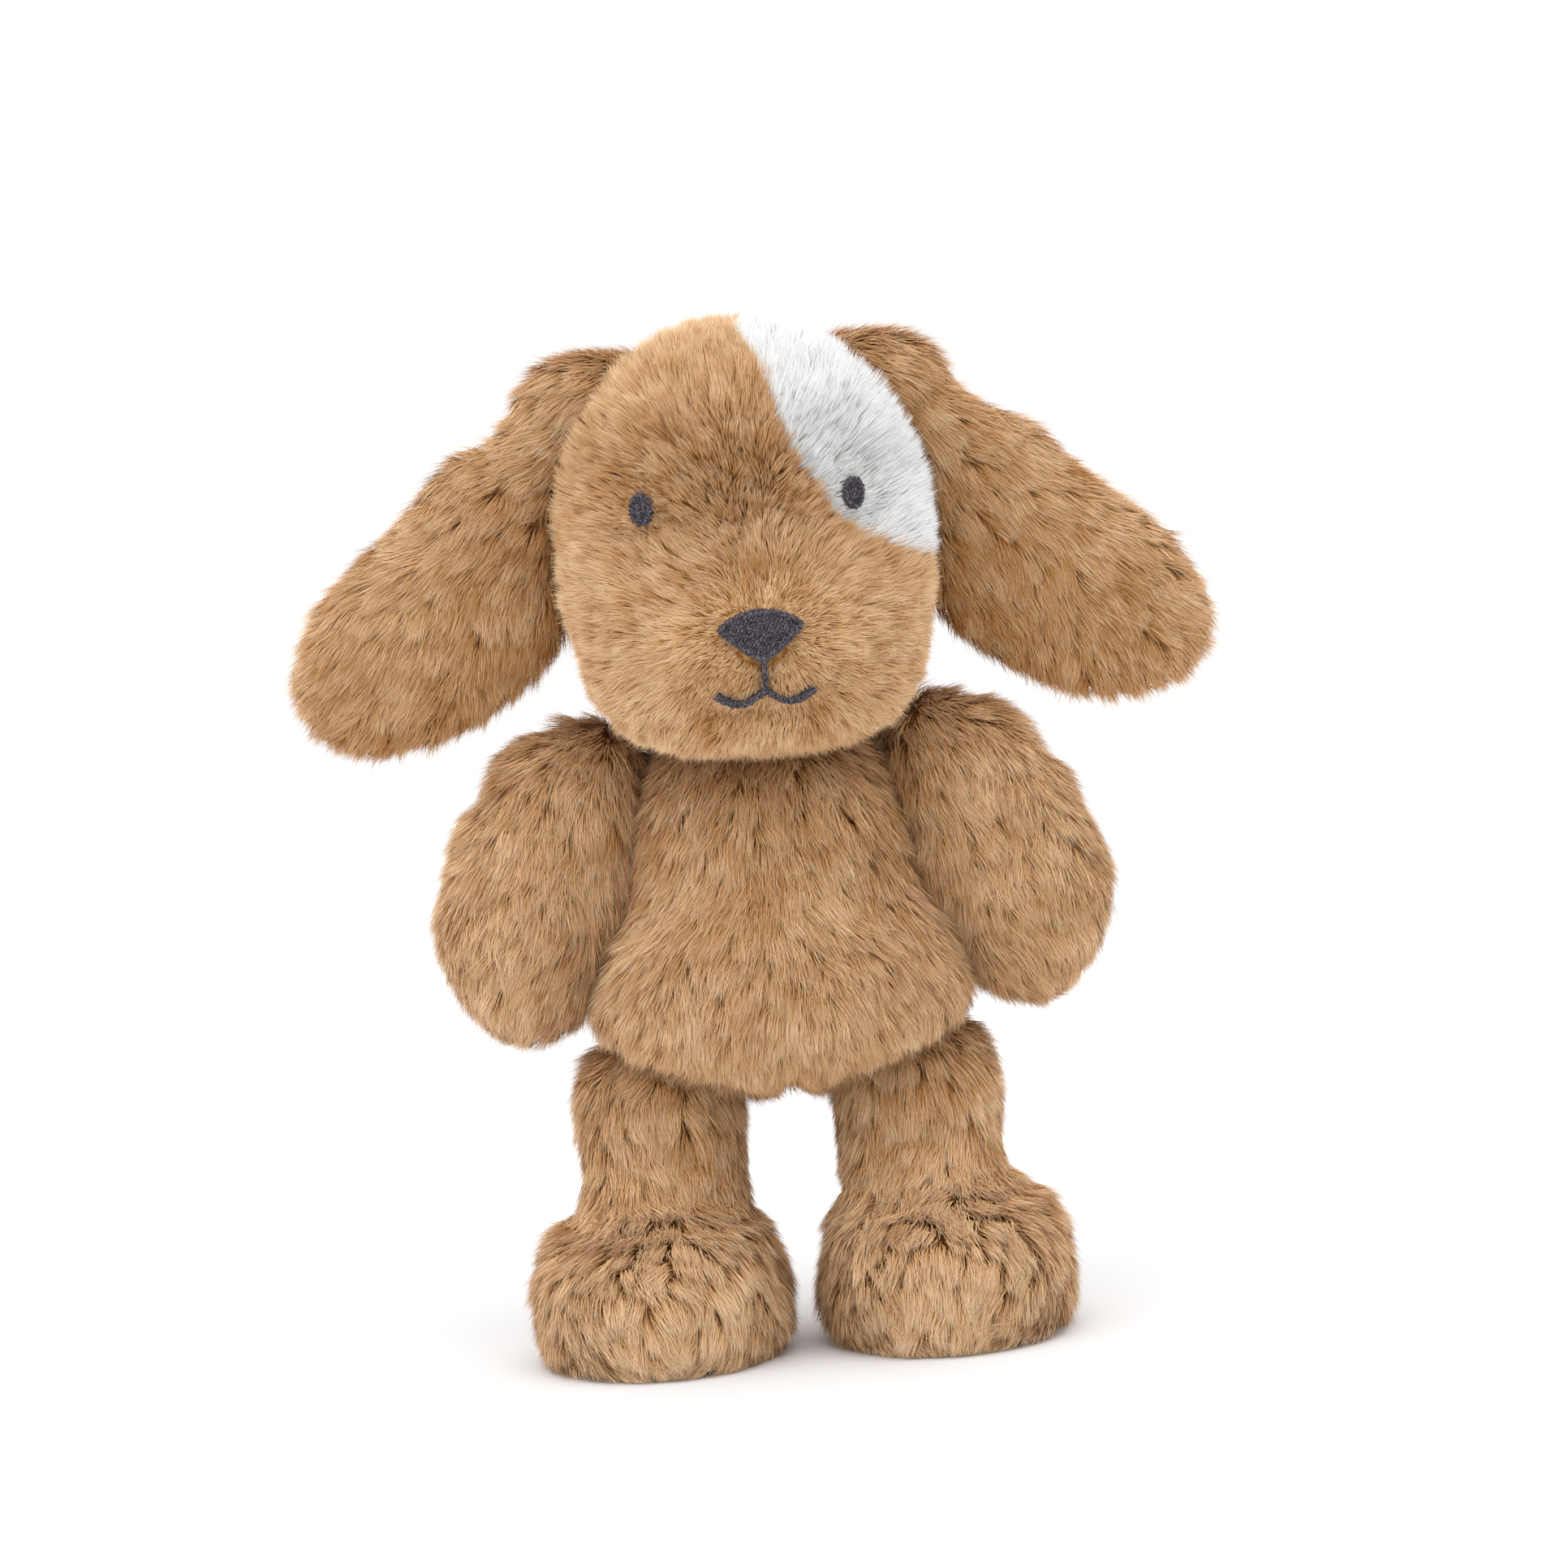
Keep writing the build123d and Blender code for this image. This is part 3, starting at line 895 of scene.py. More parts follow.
def joint_point(name: str) -> np.ndarray:
    """Where a joint turns, in millimetres."""
    joint = next(j for j in frame["joints"] if j["name"] == name)
    return np.array(joint["pos_m"]) / MM


@dataclass
class Head(StuffedPart):
    """Round head with a muzzle, brushed outwards from the nose."""

    body: str = "head"
    panels: tuple[str, ...] = (
        "chin", "face_right", "face_left", "eye_patch", "head_back_right", "head_back_left",
    )
    stuffing: str = "head_filling"
    fill: float = 0.9
    coat: Coat = Coat(length=10.0, density=4.7, width=0.28, tuft=4.0, gather=0.25)
    stitched: tuple[str, ...] = ("eye_right", "eye_left", "nose", "mouth")
    face_depth: float = 22.0  # how far behind the eyes the front of the head reaches
    outer: BVHTree = field(init=False)
    stitches: BVHTree = field(init=False)

    def plugs(self) -> list[Surface]:
        """Upper half of the skull, which closes the slots of the ears.

        Returns:
            The closed form to join to the panels.
        """
        _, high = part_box("head_back_right")
        crown = float(high.z) / MM
        centre, half = (0.0, -6.25, 264.0), (58.2, 56.7, crown - 264.3)
        skull = egg(centre, half)
        below = skull.points[:, 2] < centre[2]
        skull.points[below, 2] = centre[2] + 0.68 * (skull.points[below, 2] - centre[2])
        return [skull]

    def form(self) -> Surface:
        """Head form, kept for placing the stitching on it.

        Returns:
            The closed outer form of the head.
        """
        made = super().form()
        self.outer = made.tree()
        self.stitches = joined([cad_surface(node) for node in self.stitched]).tree()
        return made

    def to_stitching(self, points: np.ndarray) -> np.ndarray:
        """Distance to the nearest stitched feature, or 30 where it is farther.

        Args:
            points: places in millimetres, one to a row.

        Returns:
            One distance for each point.
        """
        gap = np.full(len(points), 30.0)
        front = np.flatnonzero(points[:, 1] < middle_of("eye_left")[1] + self.face_depth)
        for index in front:
            found = self.stitches.find_nearest(points[index].tolist(), 30.0)
            if found[3] is not None:
                gap[index] = found[3]
        return gap

    def flow(self, points: np.ndarray, normals: np.ndarray) -> np.ndarray:
        """Out from the nose, over the crown and down the back.

        Args:
            points: places in millimetres, one to a row.
            normals: unit normals at the points; not used here.

        Returns:
            One direction for each point.
        """
        nose = middle_of("nose") + (0, 6, 4)
        out = unit(points - nose)
        back = np.clip((points[:, 1] + 12) / 60, 0, 1)[:, None]
        return out * (1 - 0.8 * back) + np.array([0.0, 0.15, -1.1]) * back

    def pile_length(self, points: np.ndarray) -> np.ndarray:
        """Short between the features, longer on cheeks and back.

        Args:
            points: places in millimetres, one to a row.

        Returns:
            One length for each point.
        """
        gap = self.to_stitching(points)
        away = np.clip((np.linalg.norm(points - middle_of("nose"), axis=1) - 12) / 45, 0, 1)
        length = 6.5 + 4.5 * away - 3.0 * self.brow(points)
        return length * np.clip((gap - 2.2) / 9, 0.42, 1)

    def brow(self, points: np.ndarray) -> np.ndarray:
        """How much each point belongs to the brushed-up forehead, from 0 to 1."""
        height = np.exp(-((points[:, 2] - 288) / 26) ** 2)
        return height * np.clip((-8 - points[:, 1]) / 14, 0, 1)

    def stand(self, points: np.ndarray) -> np.ndarray:
        """Pile that stands on the forehead, where it is seen end on."""
        return 0.62 * self.brow(points)

    def tone(self, points: np.ndarray) -> np.ndarray:
        """Speckled forehead and pale cheeks, with painted shade over the muzzle and below the lips.

        Args:
            points: places in millimetres, one to a row.

        Returns:
            One tone for each point.
        """
        front = points[:, 1] < -25
        # Painted shade: a darker band over the muzzle and darker marks below the corners of the
        # lips.
        over = np.exp(-((points[:, 2] - 253) / 4) ** 2 - (points[:, 0] / 22) ** 2)
        under = np.exp(-((points[:, 2] - 211) / 7) ** 2 - ((np.abs(points[:, 0]) - 15) / 3.2) ** 2)
        return (0.58 - 0.18 * self.brow(points) - front * (0.22 * over + 0.4 * under)
                + 0.1 * ripple(points, 18, 21))

    def bare(self, points: np.ndarray) -> np.ndarray:
        """No pile under the stitching.

        Args:
            points: places in millimetres, one to a row.

        Returns:
            True for each point without pile.
        """
        near = points[:, 1] < middle_of("eye_left")[1] + self.face_depth
        covered = np.zeros(len(points), bool)
        for index in np.flatnonzero(near):
            found = self.stitches.find_nearest(points[index].tolist(), 4.4)
            covered[index] = found[3] is not None and self.over_stitching(points[index], found[0])
        return covered

    def over_stitching(self, point: np.ndarray, nearest: Vector) -> bool:
        """True if a root lies straight behind a stitched feature."""
        return math.hypot(point[0] - nearest.x, point[2] - nearest.z) < 0.8


@dataclass
class Ear(StuffedPart):
    """Long flat ear that hangs out and down from the side of the crown."""

    side: Side = Side.LEFT
    droop: float = 43.0
    stuffing: str = ""
    fill: float = 0.2
    coat: Coat = Coat(length=11.5, root_lean=46, tip_lean=72, tuft=5.0, gather=0.34)
    root: np.ndarray = field(init=False)

    def __post_init__(self) -> None:
        """Names that depend on the side."""
        word = self.side.word
        self.body, self.stuffing = f"ear_{word}", f"ear_{word}_wadding"
        self.panels = (f"ear_{word}_front", f"ear_{word}_back")
        self.root = joint_point(f"ear_{word}_lift")

    def axes(self) -> tuple[np.ndarray, np.ndarray]:
        """Directions along the ear from its root, and across it upwards.

        Returns:
            The direction along the ear, and the one across it.
        """
        angle, sign = math.radians(self.droop), self.side.value
        along = np.array([sign * math.cos(angle), 0.0, -math.sin(angle)])
        return along, np.array([sign * math.sin(angle), 0.0, math.cos(angle)])

    def plugs(self) -> list[Surface]:
        """Gathered root, which closes the gap between the ear and the crown."""
        sign = self.side.value
        return [egg((sign * 40.0, self.root[1], 311.0), (28.0, 13.0, 14.5))]

    def sculpted(self, form: Surface) -> Surface:
        """A soft cup along the ear and a slow wave towards its tip.

        Args:
            form: the part's closed outer form.

        Returns:
            The bent form.
        """
        along, across = self.axes()
        reach = (form.points - self.root) @ along
        height = (form.points - self.root) @ across
        bend = 2.2 * np.sin(np.clip(reach, 0, 140) / 140 * math.pi) - 0.0018 * height**2
        wave = 1.2 * np.sin(reach / 19 + self.side.value) * np.clip(reach / 60, 0, 1)
        fade = np.clip((reach - 12) / 30, 0, 1)
        points = form.points.copy()
        points[:, 1] -= (bend + wave) * fade
        return Surface(points, form.faces)

    def flow(self, points: np.ndarray, normals: np.ndarray) -> np.ndarray:
        """From the root to the tip, fanning a little to the edges.

        Args:
            points: places in millimetres, one to a row.
            normals: unit normals at the points; not used here.

        Returns:
            One direction for each point.
        """
        along, across = self.axes()
        height = ((points - self.root) @ across)[:, None]
        return along + across * np.clip(height + 9, -30, 30) / 60 + np.array([0.0, 0.0, -0.25])

    def tone(self, points: np.ndarray) -> np.ndarray:
        """Painted shade: paler upper edge, deeper lower edge.

        Args:
            points: places in millimetres, one to a row.

        Returns:
            One tone for each point.
        """
        along, across = self.axes()
        height = (points - self.root) @ across
        # Painted shade: the ear darkens from its upper edge towards its lower edge.
        return 0.45 + 0.006 * np.clip(height, -30, 30) + 0.1 * ripple(points, 30, 31)


@dataclass
class Torso(StuffedPart):
    """Pear-shaped torso over the hips."""

    body: str = "torso"
    panels: tuple[str, ...] = (
        "torso_front_right", "torso_front_left", "torso_back_right", "torso_back_left",
    )
    stuffing: str = "torso_filling"
    coat: Coat = Coat(length=12.5, root_lean=42, tip_lean=70)

    def plugs(self) -> list[Surface]:
        """Belly over the room that the legs swing in."""
        return [egg((0.0, -7.75, 117.0), (60.0, 47.0, 31.0))]

    def sculpted(self, form: Surface) -> Surface:
        """Belly lifted clear of the thighs, with a notch where they meet below.

        Args:
            form: the part's closed outer form.

        Returns:
            The form with room for the thighs.
        """
        points = form.points.copy()
        for side in Side:
            hip = joint_point(f"leg_{side.word}_swing")
            beside = np.clip((29.5 - np.abs(points[:, 0] - hip[0])) / 4, 0, 1)
            gap = points[:, 1:] - hip[1:]
            distance = np.linalg.norm(gap, axis=1)
            push = np.clip(25.8 - distance, 0, None) * beside
            points[:, 1:] += gap / np.maximum(distance, 1e-6)[:, None] * push[:, None]
        return Surface(points, form.faces)

    def flow(self, points: np.ndarray, normals: np.ndarray) -> np.ndarray:
        """Down, and a little out from the middle of the belly.

        Args:
            points: places in millimetres, one to a row.
            normals: unit normals at the points; not used here.

        Returns:
            One direction for each point.
        """
        spread = points[:, :1] / 90
        forward, down = np.full_like(spread, -0.1), np.full_like(spread, -1.0)
        return np.concatenate([spread, forward, down], axis=1)

    def tone(self, points: np.ndarray) -> np.ndarray:
        """Deeper chest under the chin and deeper low belly as painted shade, paler in between."""
        # Painted shade: only a band across the middle of the belly is lifted, which leaves the
        # chest under the chin and the low belly darker.
        belly = np.exp(-((points[:, 2] - 130) / 30) ** 2)
        return 0.45 + 0.1 * belly + 0.12 * ripple(points, 26, 41)


@dataclass
class Arm(StuffedPart):
    """Mitten arm that hangs out from the shoulder."""

    side: Side = Side.LEFT
    fill: float = 0.7
    coat: Coat = Coat(length=12.0, root_lean=42, tip_lean=70)

    def __post_init__(self) -> None:
        """Names that depend on the side."""
        word = self.side.word
        self.body, self.stuffing = f"arm_{word}", f"arm_{word}_filling"
        self.panels = (f"arm_{word}_outer", f"arm_{word}_inner")

    def plugs(self) -> list[Surface]:
        """Full shoulder, and an upper arm that lies against the chest.

        Returns:
            The closed forms to join to the panels.
        """
        sign = self.side.value
        return [
            egg((sign * 63.0, -4.0, 181.0), (26.0, 21.0, 23.0)),
            egg((sign * 74.0, -4.0, 164.0), (27.0, 20.0, 25.0)),
            egg((sign * 66.0, -5.0, 160.0), (24.0, 18.0, 34.0)),
        ]

    def sculpted(self, form: Surface) -> Surface:
        """A crease in the crook of the arm, and one across the outside below it.

        Args:
            form: the part's closed outer form.

        Returns:
            The creased form.
        """
        mirror = np.array([self.side.value, 1.0, 1.0])
        inner = np.array([[60, -27, 160], [70, -29, 166], [84, -27, 172]]) * mirror
        outer = np.array([[76, -29, 132], [90, -25, 134], [102, -13, 140]]) * mirror
        depth = 2.0 * np.exp(-(near_path(form.points, inner) / 4.5) ** 2)
        depth += 1.2 * np.exp(-(near_path(form.points, outer) / 4.5) ** 2)
        return form.moved(-depth)

    def flow(self, points: np.ndarray, normals: np.ndarray) -> np.ndarray:
        """Down the arm to the paw."""
        down = np.array([self.side.value * 0.35, -0.12, -1.0])
        return np.tile(down, (len(points), 1))

    def tone(self, points: np.ndarray) -> np.ndarray:
        """Paler towards the outside of the paw."""
        out = np.clip((np.abs(points[:, 0]) - 60) / 45, 0, 1)
        return 0.5 + 0.18 * out + 0.12 * ripple(points, 24, 51)


@dataclass
class Leg(StuffedPart):
    """Short leg on a broad flat foot."""

    side: Side = Side.LEFT
    fill: float = 0.85
    coat: Coat = Coat(length=12.5, root_lean=44, tip_lean=72, tuft=6.0, gather=0.42)
    hip: np.ndarray = field(init=False)
    foot: np.ndarray = field(init=False)

    def __post_init__(self) -> None:
        """Names that depend on the side."""
        word = self.side.word
        self.body, self.stuffing = f"leg_{word}", f"leg_{word}_filling"
        self.panels = (f"leg_{word}_front", f"leg_{word}_back", f"foot_{word}", f"sole_{word}")
        self.hip = joint_point(f"leg_{word}_swing")
        self.foot = middle_of(f"foot_{word}")

    def sculpted(self, form: Surface) -> Surface:
        """Wrinkle above the ankle, and a sole that lies flat on the floor.

        Args:
            form: the part's closed outer form.

        Returns:
            The creased form on its flat sole.
        """
        wrinkle = np.array([
            [self.hip[0] - 22, self.hip[1] - 20, 66], [self.hip[0], self.hip[1] - 27, 68],
            [self.hip[0] + 22, self.hip[1] - 20, 65],
        ])
        ankle = form.points[:, 2] - 50 - 2 * np.sin(form.points[:, 0] / 9)
        depth = 1.8 * np.exp(-(near_path(form.points, wrinkle) / 4) ** 2)
        depth += 1.3 * np.exp(-(ankle / 4) ** 2)
        made = form.moved(-depth)
        made.points[:, 2] = made.points[:, 2].clip(1.6)
        return made

    def flow(self, points: np.ndarray, normals: np.ndarray) -> np.ndarray:
        """Down the shin, then out over the foot in every direction.

        Args:
            points: places in millimetres, one to a row.
            normals: unit normals at the points; not used here.

        Returns:
            One direction for each point.
        """
        centre = np.array([self.foot[0], self.foot[1] + 12, 40.0])
        out = unit((points - centre) * (1, 1, 0.2))
        low = np.clip((62 - points[:, 2]) / 22, 0, 1)[:, None]
        return out * low * 0.9 + np.array([0.0, -0.15, -1.0]) * (1 - 0.55 * low)

    def pile_length(self, points: np.ndarray) -> np.ndarray:
        """Full pile above, pressed short under the sole."""
        return np.where(points[:, 2] < 4.5, 3.5, self.coat.length)

    def tone(self, points: np.ndarray) -> np.ndarray:
        """Paler on the foot and paler still on the toes, with painted light that lifts the tone of
        the whole leg in place of fill light from the front and below.
        """
        # Painted light: the tone of the whole leg, and more of the foot, is raised in place of fill
        # light from the front and below.
        toes = np.clip((self.foot[1] - points[:, 1]) / 45, -0.3, 1) * (points[:, 2] < 50)
        return 0.58 + 0.12 * (points[:, 2] < 55) + 0.14 * toes + 0.14 * ripple(points, 22, 61)


@dataclass
class Tail(StuffedPart):
    """Stub tail that lifts behind."""

    body: str = "tail"
    panels: tuple[str, ...] = ("tail_right", "tail_left")
    stuffing: str = "tail_filling"
    fill: float = 0.6
    coat: Coat = Coat(length=11.0)

    def flow(self, points: np.ndarray, normals: np.ndarray) -> np.ndarray:
        """Along the tail to its tip."""
        return np.tile([0.0, 0.79, 0.5], (len(points), 1))

    def tone(self, points: np.ndarray) -> np.ndarray:
        """Pale, as its pile stands away and shows more of the roots."""
        return 0.66 + 0.1 * ripple(points, 20, 71)


# ---------------------------------------------------------------- stitching


@dataclass
class Embroidery:
    """Stitched features of the face: dense thread over a low pad."""

    head: Head
    finishes: Finishes
    pitch: float = 0.42  # from thread to thread
    thread: float = 0.27  # half a thread's width
    border: float = 1.7  # width of the satin edge

    def lifted(self, flat: np.ndarray, relief: float | np.ndarray) -> tuple[np.ndarray, np.ndarray]:
        """Points of the front view laid on the head, with the head's normals there.

        Args:
            flat: points of the front view, as x and z.
            relief: height of each point over the head.

        Returns:
            The places in space, and the normals there.
        """
        places, normals = [], []
        for x, z in flat.reshape(-1, 2).tolist():
            hit = self.head.outer.ray_cast((x, -300.0, z), (0, 1, 0))
            places.append(hit[0][:] if hit[0] else (x, -100.0, z))
            normals.append(hit[1][:] if hit[0] else (0, -1, 0))
        shape = (*flat.shape[:-1], 3)
        normal = unit(np.array(normals).reshape(shape) * (1, 1, 0.6))
        lift = normal * np.reshape(relief, (*np.shape(relief), 1))
        return np.array(places).reshape(shape) + lift, normal

    def threads(self, ends: np.ndarray, rise: float, radius: float, steps: int = 6) -> Surface:
        """Rounded threads between pairs of points of the front view.

        Args:
            ends: for each thread its two ends, as x and z.
            rise: height of the thread's middle over the head, less at its ends.
            radius: half the thread's width.
            steps: places along each thread.

        Returns:
            All the threads as one surface.
        """
        share = np.linspace(0, 1, steps)
        along_share = share[None, :, None]
        flat = ends[:, None, 0] * (1 - along_share) + ends[:, None, 1] * along_share
        arch = rise * (0.45 + 0.55 * np.sin(share * math.pi)) * np.ones((len(ends), 1))
        line, normal = self.lifted(flat, arch)
        along = unit(np.gradient(line, axis=1))
        across = unit(np.cross(along, normal))
        turns = np.radians([0, 50, 90, 130, 180])
        ring = (line[:, :, None] + radius * (np.cos(turns)[:, None] * across[:, :, None]
                + np.sin(turns)[:, None] * normal[:, :, None]))
        count, rows, sides = ring.shape[:3]
        number = np.arange(count * rows * sides).reshape(count, rows, sides)
        a, b = number[:, :-1, :-1].ravel(), number[:, :-1, 1:].ravel()
        c, d = number[:, 1:, 1:].ravel(), number[:, 1:, :-1].ravel()
        faces = np.concatenate([np.stack([a, b, c], 1), np.stack([a, c, d], 1)])
        return Surface(ring.reshape(-1, 3), faces)

    def pad(self, outline: np.ndarray, rise: float) -> Surface:
        """Low closed cushion under the threads, from inside the cloth to just under them.

        Args:
            outline: corners of the feature's outline in the front view, as x and z.
            rise: height of the cushion's middle.

        Returns:
            The closed cushion.
        """
        centre = outline.mean(0)
        rings = [centre + (outline - centre) * share for share in (1.0, 0.7, 0.35)]
        count = len(outline)
        back, _ = self.lifted(rings[0], -SINK - CLOTH)
        lifts = (0.4, 0.9, 1.0)
        front = [self.lifted(ring, rise * lift)[0] for ring, lift in zip(rings, lifts, strict=True)]
        peak, _ = self.lifted(centre[None], rise)
        base, _ = self.lifted(centre[None], -SINK - CLOTH)
        points = np.concatenate([back, *front, peak, base])
        faces = []
        for ring, step in itertools.product(range(3), range(count)):
            a, b = ring * count + step, ring * count + (step + 1) % count
            faces += [(a, b, b + count), (a, b + count, a + count)]
        top, bottom = 4 * count, 4 * count + 1
        for step in range(count):
            nxt = (step + 1) % count
            faces += [(3 * count + step, 3 * count + nxt, top), (nxt, step, bottom)]
        return Surface(points, np.array(faces))

    def spaced(self, path: np.ndarray) -> tuple[np.ndarray, np.ndarray]:
        """Distance along a path at its corners, and at each thread that crosses it.

        Args:
            path: corners of the path, as x and z.

        Returns:
            The distance at each corner, and the distance at each thread.
        """
        run = np.concatenate([[0], np.cumsum(np.linalg.norm(np.diff(path, axis=0), axis=1))])
        return run, np.arange(0, run[-1], self.pitch)

    def places(self, path: np.ndarray, run: np.ndarray, at: np.ndarray) -> np.ndarray:
        """Points of a path at the given distances along it."""
        return np.stack([np.interp(at, run, path[:, k]) for k in (0, 1)], axis=1)

    def edge(self, outline: np.ndarray, rng: np.random.Generator) -> np.ndarray:
        """Satin stitches that cross the outline inwards, with ragged outer ends.

        Args:
            outline: corners of the feature's outline in the front view, as x and z.
            rng: seeded source of every difference.

        Returns:
            Both ends of each stitch, as x and z.
        """
        closed = np.concatenate([outline, outline[:1]])
        run, at = self.spaced(closed)
        place = self.places(closed, run, at)
        heading = self.places(closed, run, (at + 0.3) % run[-1]) - place
        inward = np.stack([-heading[:, 1], heading[:, 0]], axis=1)
        inward /= np.maximum(np.linalg.norm(inward, axis=1, keepdims=True), 1e-9)
        inward *= np.sign(((outline.mean(0) - place) * inward).sum(1, keepdims=True))
        outer = place - inward * rng.uniform(0.0, 0.7, (len(at), 1))
        inner = place + inward * (self.border + rng.uniform(-0.15, 0.15, (len(at), 1)))
        return np.stack([outer, inner], axis=1)

    def rows(self, outline: np.ndarray, slant: float, rng: np.random.Generator) -> np.ndarray:
        """Short filling stitches in staggered rows, kept inside the satin edge.

        Args:
            outline: corners of the feature's outline in the front view, as x and z.
            slant: angle of the rows, in radians.
            rng: seeded source of every difference.

        Returns:
            Both ends of each stitch, as x and z.
        """
        centre = outline.mean(0)
        turn = np.array([[math.cos(slant), -math.sin(slant)], [math.sin(slant), math.cos(slant)]])
        local = (outline - centre) @ turn
        low, high = local.min(0), local.max(0)
        found = []
        for index, x in enumerate(np.arange(low[0], high[0], self.pitch)):
            for z in np.arange(low[1] + (index % 3) * 0.6, high[1], 1.8):
                found.append(((x, z), (x + 0.05, z + rng.uniform(1.5, 2.0))))
        ends = np.array(found)
        inside = self.inside(ends.mean(1), local) & self.inside(ends[:, 0], local)
        return (ends[inside & self.inside(ends[:, 1], local)] @ turn.T) + centre

    def inside(self, points: np.ndarray, outline: np.ndarray) -> np.ndarray:
        """True for points within the outline.

        Args:
            points: points of the front view, as x and z.
            outline: corners of the feature's outline in the front view, as x and z.

        Returns:
            One answer for each point.
        """
        odd = np.zeros(len(points), bool)
        for (x0, z0), (x1, z1) in zip(outline, np.roll(outline, -1, axis=0), strict=True):
            if z0 == z1:
                continue
            crosses = (points[:, 1] < z0) != (points[:, 1] < z1)
            odd ^= crosses & (points[:, 0] < x0 + (points[:, 1] - z0) / (z1 - z0) * (x1 - x0))
        return odd

    def chain(self, path: np.ndarray, inset: float) -> np.ndarray:
        """One thread laid along an outline, a little inside it.

        Args:
            path: corners of the outline, as x and z.
            inset: how far inside the outline the thread lies.

        Returns:
            Both ends of each piece of the thread, as x and z.
        """
        centre = path.mean(0)
        size = np.linalg.norm(path - centre, axis=1, keepdims=True)
        line = centre + (path - centre) * (1 - inset / np.maximum(size, inset + 0.5))
        return np.stack([line, np.roll(line, -1, axis=0)], axis=1)

    def filled(self, node: str, outline: np.ndarray, slant: float,
               rng: np.random.Generator) -> None:
        """A filled feature: pad, filling rows, satin edge and one bright thread between.

        Args:
            node: name of the CAD node.
            outline: corners of the feature's outline in the front view, as x and z.
            slant: angle of the filling rows, in radians.
            rng: seeded source of every difference.
        """
        pieces = [
            self.pad(outline, 0.9),
            self.threads(self.rows(outline, slant, rng), 1.15, self.thread, 4),
            self.threads(self.edge(outline, rng), 1.3, self.thread + 0.04),
            self.threads(self.chain(outline, self.border), 1.45, 0.2, 3),
        ]
        self.finish(node, joined(pieces))

    def lines(self, node: str, paths: list[np.ndarray], width: float,
              rng: np.random.Generator) -> None:
        """A feature made of satin-stitched lines.

        Args:
            node: name of the CAD node.
            paths: corners of each line, as x and z.
            width: width of the lines.
            rng: seeded source of every difference.
        """
        pieces = []
        for path in paths:
            run, at = self.spaced(path)
            place = self.places(path, run, at)
            heading = np.gradient(place, axis=0)
            heading /= np.linalg.norm(heading, axis=1, keepdims=True)
            aside = np.stack([-heading[:, 1], heading[:, 0]], axis=1)
            reach = width / 2 + rng.uniform(-0.1, 0.45, (len(at), 1))
            skew = heading * 0.35
            ends = np.stack([place - aside * reach - skew, place + aside * reach + skew], axis=1)
            pieces.append(self.threads(ends, 1.3, self.thread + 0.05))
            under = aside * width * 0.4
            band = np.concatenate([place + under, (place - under)[::-1]])
            pieces.append(self.ribbon(band))
        self.finish(node, joined(pieces))

    def ribbon(self, band: np.ndarray) -> Surface:
        """Closed strip under a stitched line.

        Args:
            band: outline of the strip, up one side and down the other.

        Returns:
            The closed strip.
        """
        half = len(band) // 2
        front, _ = self.lifted(band, 0.6)
        back, _ = self.lifted(band, -SINK - CLOTH)
        count = len(band)
        faces = []
        for step in range(count):
            nxt = (step + 1) % count
            faces += [(step, nxt + count, nxt), (step, step + count, nxt + count)]
        for step in range(half - 1):
            a, b, c, d = step, step + 1, count - 2 - step, count - 1 - step
            faces += [(a, b, c), (a, c, d)]
            faces += [(a + count, c + count, b + count), (a + count, d + count, c + count)]
        return Surface(np.concatenate([front, back]), np.array(faces))

    def finish(self, node: str, surface: Surface) -> None:
        """Put a stitched feature on the head in place of its CAD node.

        Args:
            node: name of the CAD node.
            surface: all the feature's threads and pads.
        """
        item = new_object(f"{node}_stitching", surface)
        item.data.materials.append(self.finishes.thread)
        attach(item, "head")
        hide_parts(node)
        LOG.info("%s: %d faces of stitching", node, len(surface.faces))

    def build(self, rng: np.random.Generator) -> None:
        """Stitch both eyes, the nose and the mouth.

        Args:
            rng: seeded source of every difference.
        """
        turn = np.linspace(0, 2 * math.pi, 40, endpoint=False)
        for side in Side:
            low, high = (np.array(corner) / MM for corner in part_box(f"eye_{side.word}"))
            centre, half = (low + high)[[0, 2]] / 2, (high - low)[[0, 2]] / 2
            # The satin edge adds its own width, so the oval inside it is drawn smaller.
            half = half * (0.84, 0.9)
            oval = centre + np.stack([np.cos(turn) * half[0], np.sin(turn) * half[1]], axis=1)
            self.border = 1.25
            self.filled(f"eye_{side.word}", oval, math.radians(48), rng)
        self.border = 1.7
        low, high = (np.array(corner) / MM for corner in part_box("nose"))
        width, corner = (high[0] - low[0]) / 2, low[2] + 0.66 * (high[2] - low[2])
        across = np.sin(np.linspace(-math.pi / 2, math.pi / 2, 26))
        top = corner + (high[2] - corner) * (1 - np.abs(across) ** 2.4)
        under = corner - (corner - low[2]) * (1 - np.abs(across) ** 1.25)
        nose = np.concatenate([
            np.stack([across * width, under], axis=1),
            np.stack([across * width, top], axis=1)[::-1][1:-1],
        ])
        self.filled("nose", nose, math.radians(4), rng)
        low, high = (np.array(corner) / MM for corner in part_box("mouth"))
        reach, drop = (high[0] - low[0]) / 2 - 1.8, low[2] + 1.1
        join = drop + 4.4
        paths = [np.array([[0.0, high[2] + 1.0], [0.0, join - 1.0]])]
        for side in Side:
            bend = np.linspace(0, 1, 14)
            x = side.value * reach * bend
            z = join + (drop - join) * np.sin(np.clip(bend * 1.16, 0, 1.2) * math.pi * 0.8)
            paths.append(np.stack([x, z], axis=1))
        self.lines("mouth", paths, 1.15, rng)


# ---------------------------------------------------------------- trim and insides


